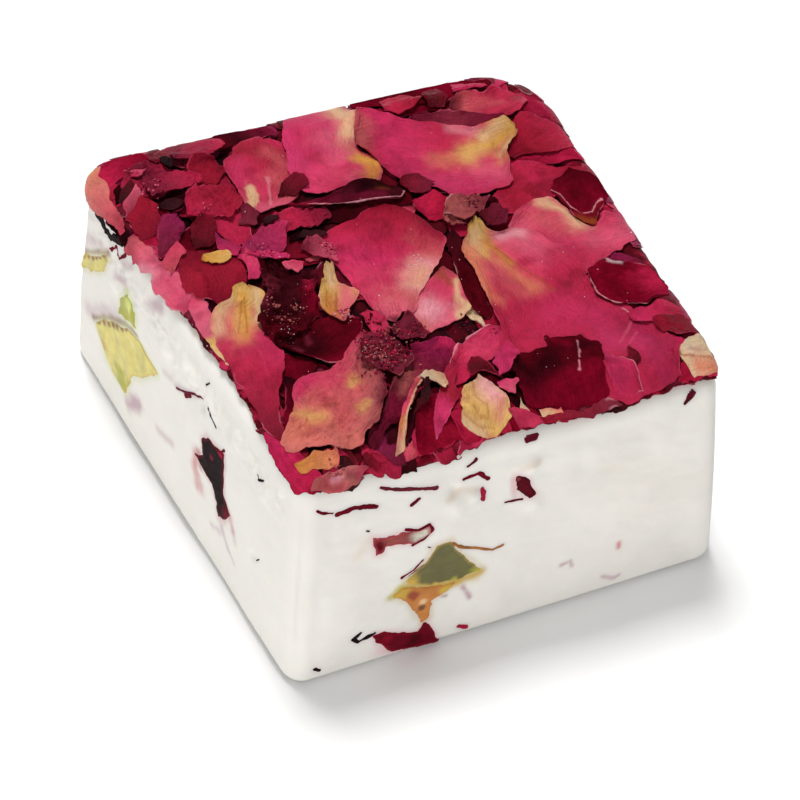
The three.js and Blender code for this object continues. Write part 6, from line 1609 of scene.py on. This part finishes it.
BED_HEIGHT = 0.55
BED_DEPTH = 0.2
BED_REACH = 18.4
BED_CORNER_SHRINK = 0.045
BED_RAMP = [(0, "maroon"), (0.5, "wine"), (1, "crimson")]
FRAGMENT_REACH = 17.4
FRAGMENT_CRUMPLE = 0.1
FRAGMENT_BEND = 0.6
LOW_COUNT, LOW_SIZES = 170, (1.6, 3.4)
RIM_COUNT, RIM_SIZES = 150, (0.9, 2.0)


def bed_core(material):
    """The dark crushed layer under the fragments, with black patches that paint shade in the holes between
    them.
    """
    steps = int(2 * BED_REACH / (0.3 * FINE))
    even = np.linspace(-1, 1, steps)
    a, b = np.meshgrid(even, even, indexing="ij")
    reach = BED_REACH + 0.2 * clouds(a * 18, b * 18, 3.0, 800)
    shrink = 1 - BED_CORNER_SHRINK * a * a * b * b
    u, v = cut_at_rim(a * reach * shrink, b * reach * shrink)
    height = BED_HEIGHT * (0.6 + 0.5 * ridges(u, v, 1.3, 810))
    height = height * smooth(1 - np.maximum(abs(a), abs(b)), 0, 0.012) + 0.03
    # Painted shade: black patches on the bed darken the holes where it shows between the petals.
    tint = blend(plain_tint("black", u), linear("maroon"), smooth(clouds(u, v, 1.5, 820), -0.1, 0.8))
    at_rim = ramp_colour(smooth(clouds(u, v, 1.1, 830), -0.7, 0.9), BED_RAMP)
    tint = blend(tint, at_rim, smooth(rim_place(u, v)[0], -0.9, 0.2))
    pieces = Pieces()
    under = roll_over(u, v, np.full_like(u, -BED_DEPTH))
    over = roll_over(u, v, pressed(u, v, height))
    pieces.add_sheet(under, over, tint, np.stack([u, v, 0 * u], -1))
    pieces.make("bed_core", material, ["petal_bed"])
    add_to_pile(u, v, height)


FRAGMENT_RAMPS = [
    ("wine", "maroon"), ("crimson", "wine"), ("maroon", "black"), ("plum", "violet"), ("red", "crimson"),
    ("magenta", "crimson"), ("plum", "maroon"), ("rose", "crimson"), ("red", "maroon"), ("dusk", "plum"),
    ("coral", "rose"), ("violet", "magenta"),
]
FRAGMENT_ODDS = np.array([5, 6, 4, 4, 5, 4, 4, 2, 3, 2, 1, 2], float)


def random_fragment(rng, centre, size, heading):
    """The outline of a torn bit of petal, with five to eight corners."""
    corners = rng.integers(5, 9)
    angles = heading + 2 * math.pi * (np.arange(corners) + rng.uniform(-0.3, 0.3, corners)) / corners
    reach = size * rng.uniform(0.45, 0.75, corners)
    stretch = rng.uniform(1.0, 1.5)
    along = reach * np.cos(angles - heading) * stretch
    across = reach * np.sin(angles - heading) / stretch
    u = centre[0] + along * math.cos(heading) - across * math.sin(heading)
    v = centre[1] + along * math.sin(heading) + across * math.cos(heading)
    return list(zip(u, v))


def lay_fragments(pieces, rng, count, sizes, place):
    """Scatters torn bits over the pile. place gives each its centre and heading."""
    odds = FRAGMENT_ODDS / FRAGMENT_ODDS.sum()
    for _ in range(count):
        centre, heading = place(rng)
        first, last = FRAGMENT_RAMPS[rng.choice(len(FRAGMENT_RAMPS), p=odds)]
        shape = scrap(first, last, random_fragment(rng, centre, rng.uniform(*sizes), heading),
                      rim=rng.choice(["rose", "blush", "plum", "pink"]),
                      crumple=FRAGMENT_CRUMPLE * rng.uniform(0.3, 1.2))
        lay_petal(pieces, shape, FRAGMENT_SPACING, int(rng.integers(1000, 90000)), FRAGMENT_BEND)


def anywhere(rng):
    """A place and a heading anywhere on top."""
    return rng.uniform(-FRAGMENT_REACH, FRAGMENT_REACH, 2), rng.uniform(0, 2 * math.pi)


def along_rim(rng):
    """A place on the rim, with a heading that follows it more or less."""
    along = rng.uniform(-16.6, 16.6)
    out = rng.uniform(16.4, 17.8)
    turn = rng.integers(4) * math.pi / 2
    centre = np.array([along * math.cos(turn) + out * math.sin(turn),
                       along * math.sin(turn) - out * math.cos(turn)])
    return centre, turn + rng.normal(0, 0.5)


# Where petals are crushed to crumbs, and where sugar lies on them: middle, spread, count, colours. The pink
# and blush crumbs are real crumbs in a lighter colour that paints pale glinting specks: partly painted
# highlights.
CRUMBS_AND_GLINTS = [
    (-6.4, -8.8, 1.7, 420, ("dusk", "dusty", "plum", "crimson")),
    (-4.8, -6.6, 1.1, 140, ("dusk", "crimson", "dusty")), (-3.0, -7.2, 0.8, 60, ("dusk", "crimson")),
    (-11.2, -2.6, 1.6, 120, ("umber", "dusk", "dusty")), (-12.4, -5.2, 0.7, 40, ("dusk", "maroon")),
    (-7.2, -4.0, 0.7, 50, ("pink", "blush", "rose")), (-5.2, 3.2, 0.9, 50, ("rose", "pink")),
    (-5.4, -4.8, 0.6, 30, ("rose", "maroon")), (1.0, -7.4, 0.7, 30, ("plum", "violet")),
    (7.0, 3.8, 0.8, 30, ("dusty", "dusk")), (2.8, -8.8, 0.4, 12, ("blush", "rose")),
    (-15.0, -17.2, 1.0, 30, ("salmon", "dusty")), (-14.6, 12.6, 1.2, 30, ("pink", "plum")),
    (-15.4, 15.0, 0.8, 15, ("pink", "rose")), (-9.6, 4.0, 1.2, 30, ("magenta", "pink")),
    (-12.4, 9.6, 0.8, 15, ("pink", "rose")),
]
SUGARED = [
    (-10.5, -1.0, 2.2, 10, ("sugar",)), (-12.3, -4.2, 0.8, 12, ("sugar",)),
    (-6.5, -8.5, 2.0, 44, ("sugar",)), (0.0, 0.0, 17.0, 60, ("sugar",)),
    (5.5, -13.0, 2.5, 6, ("sugar",)), (0.8, -0.6, 1.4, 20, ("sugar",)),
]
BOX_CORNERS = np.array([(x, y, z) for x in (-1, 1) for y in (-1, 1) for z in (-1, 1)], float)
BOX_FACES = np.array([(0, 1, 3, 2), (4, 6, 7, 5), (0, 4, 5, 1), (2, 3, 7, 6), (0, 2, 6, 4), (1, 5, 7, 3)])
CRUMB_SIZES, SUGAR_SIZES = (0.03, 0.11), (0.02, 0.045)
SUNK = 0.2


def tiny_bits(name, sizes, scatter, material, seed):
    """Tiny angular bits on the petals, as one piece."""
    rng = np.random.default_rng(seed)
    points, faces, tints = [], [], []
    for middle_u, middle_v, spread, count, colours in scatter:
        for _ in range(count):
            place = rng.normal((middle_u, middle_v), spread / 2)
            u, v = np.clip(place, -FRAGMENT_REACH, FRAGMENT_REACH)
            u, v = cut_at_rim(np.array([u]), np.array([v]))
            size = rng.uniform(*sizes)
            bit = BOX_CORNERS * size * rng.uniform(0.4, 1.0, 3) + rng.uniform(-0.35, 0.35, (8, 3)) * size
            faces.append(BOX_FACES + 8 * len(points))
            points.append(bit + roll_over(u, v, pressed(u, v, sampled(pile, u, v)) + size * SUNK))
            tints.append(np.tile(linear(rng.choice(colours)) * rng.uniform(0.75, 1.2), (8, 1)))
    points, tints = np.concatenate(points), np.concatenate(tints)
    make_piece(name, points, np.concatenate(faces), np.clip(tints, 0, 1), points, material)


# ---------------------------------------------------------------- floor, light and camera

AZIMUTH, ELEVATION, ROLL = math.radians(-31.93), math.radians(44.01), math.radians(8.0)
CAMERA_DISTANCE = 307.4
AIM_UP, AIM_RIGHT = 4.10, 0.48
LENS_LENGTH, SENSOR_WIDTH = 180, 36
FLOOR_REACH, FLOOR_ROUGHNESS, FLOOR_GLOSS = 2.0, 0.9, 0.1
WORLD_LIGHT = 0.37

# Each light's place and size in metres, and its power in watts.
LIGHTS = {
    "key": ((-0.02, 0.185, 0.56), 0.16, 2.43),
    "fill": ((-0.35, -0.46, 0.2), 0.4, 1.38),
}


def add_stage():
    """A plain white floor."""
    mesh = bpy.data.meshes.new("floor")
    corners = [(x * FLOOR_REACH, y * FLOOR_REACH, 0) for x, y in ((-1, -1), (1, -1), (1, 1), (-1, 1))]
    mesh.from_pydata(corners, [], [(0, 1, 2, 3)])
    material, tree, shader = new_material("floor_white")
    place = add_node(tree, "ShaderNodeTexCoord").outputs["Object"]
    shade = ranged(tree, noise(tree, place, 20.0, 2.0, 0.55), 0.0, 1.0, 0.975, 0.995)
    colour = add_node(tree, "ShaderNodeCombineColor")
    for socket in colour.inputs[:3]:
        tree.links.new(shade, socket)
    tree.links.new(colour.outputs[0], shader.inputs["Base Color"])
    shader.inputs["Roughness"].default_value = FLOOR_ROUGHNESS
    shader.inputs["Specular IOR Level"].default_value = FLOOR_GLOSS
    mesh.materials.append(material)
    floor = bpy.data.objects.new("floor", mesh)
    bpy.context.scene.collection.objects.link(floor)


def add_light(name, place, size, power):
    """A soft square light that faces the object."""
    lamp = bpy.data.lights.new(name, "AREA")
    lamp.energy = power
    lamp.size = size
    holder = bpy.data.objects.new(name, lamp)
    holder.location = place
    holder.rotation_euler = (-Vector(place)).to_track_quat("-Z", "Y").to_euler()
    bpy.context.scene.collection.objects.link(holder)


def add_lights():
    """Even light from all round, and the soft lights."""
    world = bpy.data.worlds.new("studio")
    world.use_nodes = True
    background = world.node_tree.nodes["Background"]
    background.inputs["Color"].default_value = (1, 1, 1, 1)
    background.inputs["Strength"].default_value = WORLD_LIGHT
    bpy.context.scene.world = world
    for name, (place, size, power) in LIGHTS.items():
        add_light(name, place, size, power)


def add_camera():
    """The photo's camera, fitted to the block's corners."""
    back = Vector((math.sin(AZIMUTH) * math.cos(ELEVATION), -math.cos(AZIMUTH) * math.cos(ELEVATION),
                   math.sin(ELEVATION)))
    level = (-back).cross(Vector((0, 0, 1))).normalized()
    upright = level.cross(-back)
    right = level * math.cos(ROLL) + upright * math.sin(ROLL)
    up = upright * math.cos(ROLL) - level * math.sin(ROLL)
    place = back * CAMERA_DISTANCE * MM
    aim = (up * AIM_UP + right * AIM_RIGHT) * MM
    toward = (place - aim).normalized()
    right = up.cross(toward).normalized()
    up = toward.cross(right)
    lens = bpy.data.cameras.new("camera")
    lens.lens = LENS_LENGTH
    lens.sensor_width = SENSOR_WIDTH
    lens.clip_start = 0.01
    camera = bpy.data.objects.new("camera", lens)
    turn = Matrix((right, up, toward)).transposed()
    camera.matrix_world = Matrix.Translation(place) @ turn.to_4x4()
    bpy.context.scene.collection.objects.link(camera)
    bpy.context.scene.camera = camera


# ---------------------------------------------------------------- the whole

petal_looks = {
    "salmon": petal_material("petal_salmon", 0.45, 0.05, 0.1, 0.12, 0.1),
    "cream": petal_material("petal_cream", 0.5, 0.05, 0.07, 0.12, 0.1),
    "magenta": petal_material("petal_magenta", 0.45, 0.05, 0.08, 0.1, 0.1),
    "crimson": petal_material("petal_crimson", 0.45, 0.06, 0.1, 0.06, 0.08),
    "maroon": petal_material("petal_maroon", 0.45, 0.1, 0.17, 0.0, 0.0),
}
bed_look = petal_material("petal_bed", 0.6, 0.14, 0.17, 0.03, 0.0)
flake_look = petal_material("flake_in_nougat", 0.5, 0.15, 0.15, 0.03, 0.1)
nut_look = nut_material("pistachio_cut", 0.45, 0.4)
skin_look = nut_material("pistachio_skin", 0.55, 0.3)
nougat_look = nougat_material()

nougat_body(nougat_look)
for piece in INSETS:
    if "pistachio" in piece["node"]:
        inset_piece(piece, nut_look)
    elif "skin" in piece["node"]:
        inset_piece(piece, skin_look)
    else:
        inset_piece(piece, flake_look)
shred_pieces(flake_look)

bed_core(bed_look)
rng = np.random.default_rng(7)
low_fragments = Pieces()
lay_fragments(low_fragments, rng, LOW_COUNT, LOW_SIZES, anywhere)
low_fragments.make("fragments_low", bed_look)
rim_fragments = Pieces()
lay_fragments(rim_fragments, rng, RIM_COUNT, RIM_SIZES, along_rim)
rim_fragments.make("fragments_rim", petal_looks["crimson"])

scrap_piece("scraps_under", SCRAPS_UNDER, "maroon", 5000)
for number, shape in enumerate(PETALS):
    sheet = Pieces()
    lay_petal(sheet, shape, PETAL_SPACING, 2000 + 101 * number)
    sheet.make("rose_" + shape["name"], petal_looks[shape["look"]],
               ["petal_" + shape["name"]])
scrap_piece("scraps_over", SCRAPS_OVER, "crimson", 7000)

tiny_bits("crumbs", CRUMB_SIZES, CRUMBS_AND_GLINTS, bed_look, 43)
tiny_bits("sugar_grains", SUGAR_SIZES, SUGARED, nougat_look, 41)

add_stage()
add_lights()
add_camera()
bpy.context.scene.view_settings.view_transform = "Standard"
bpy.context.scene.cycles.use_denoising = True
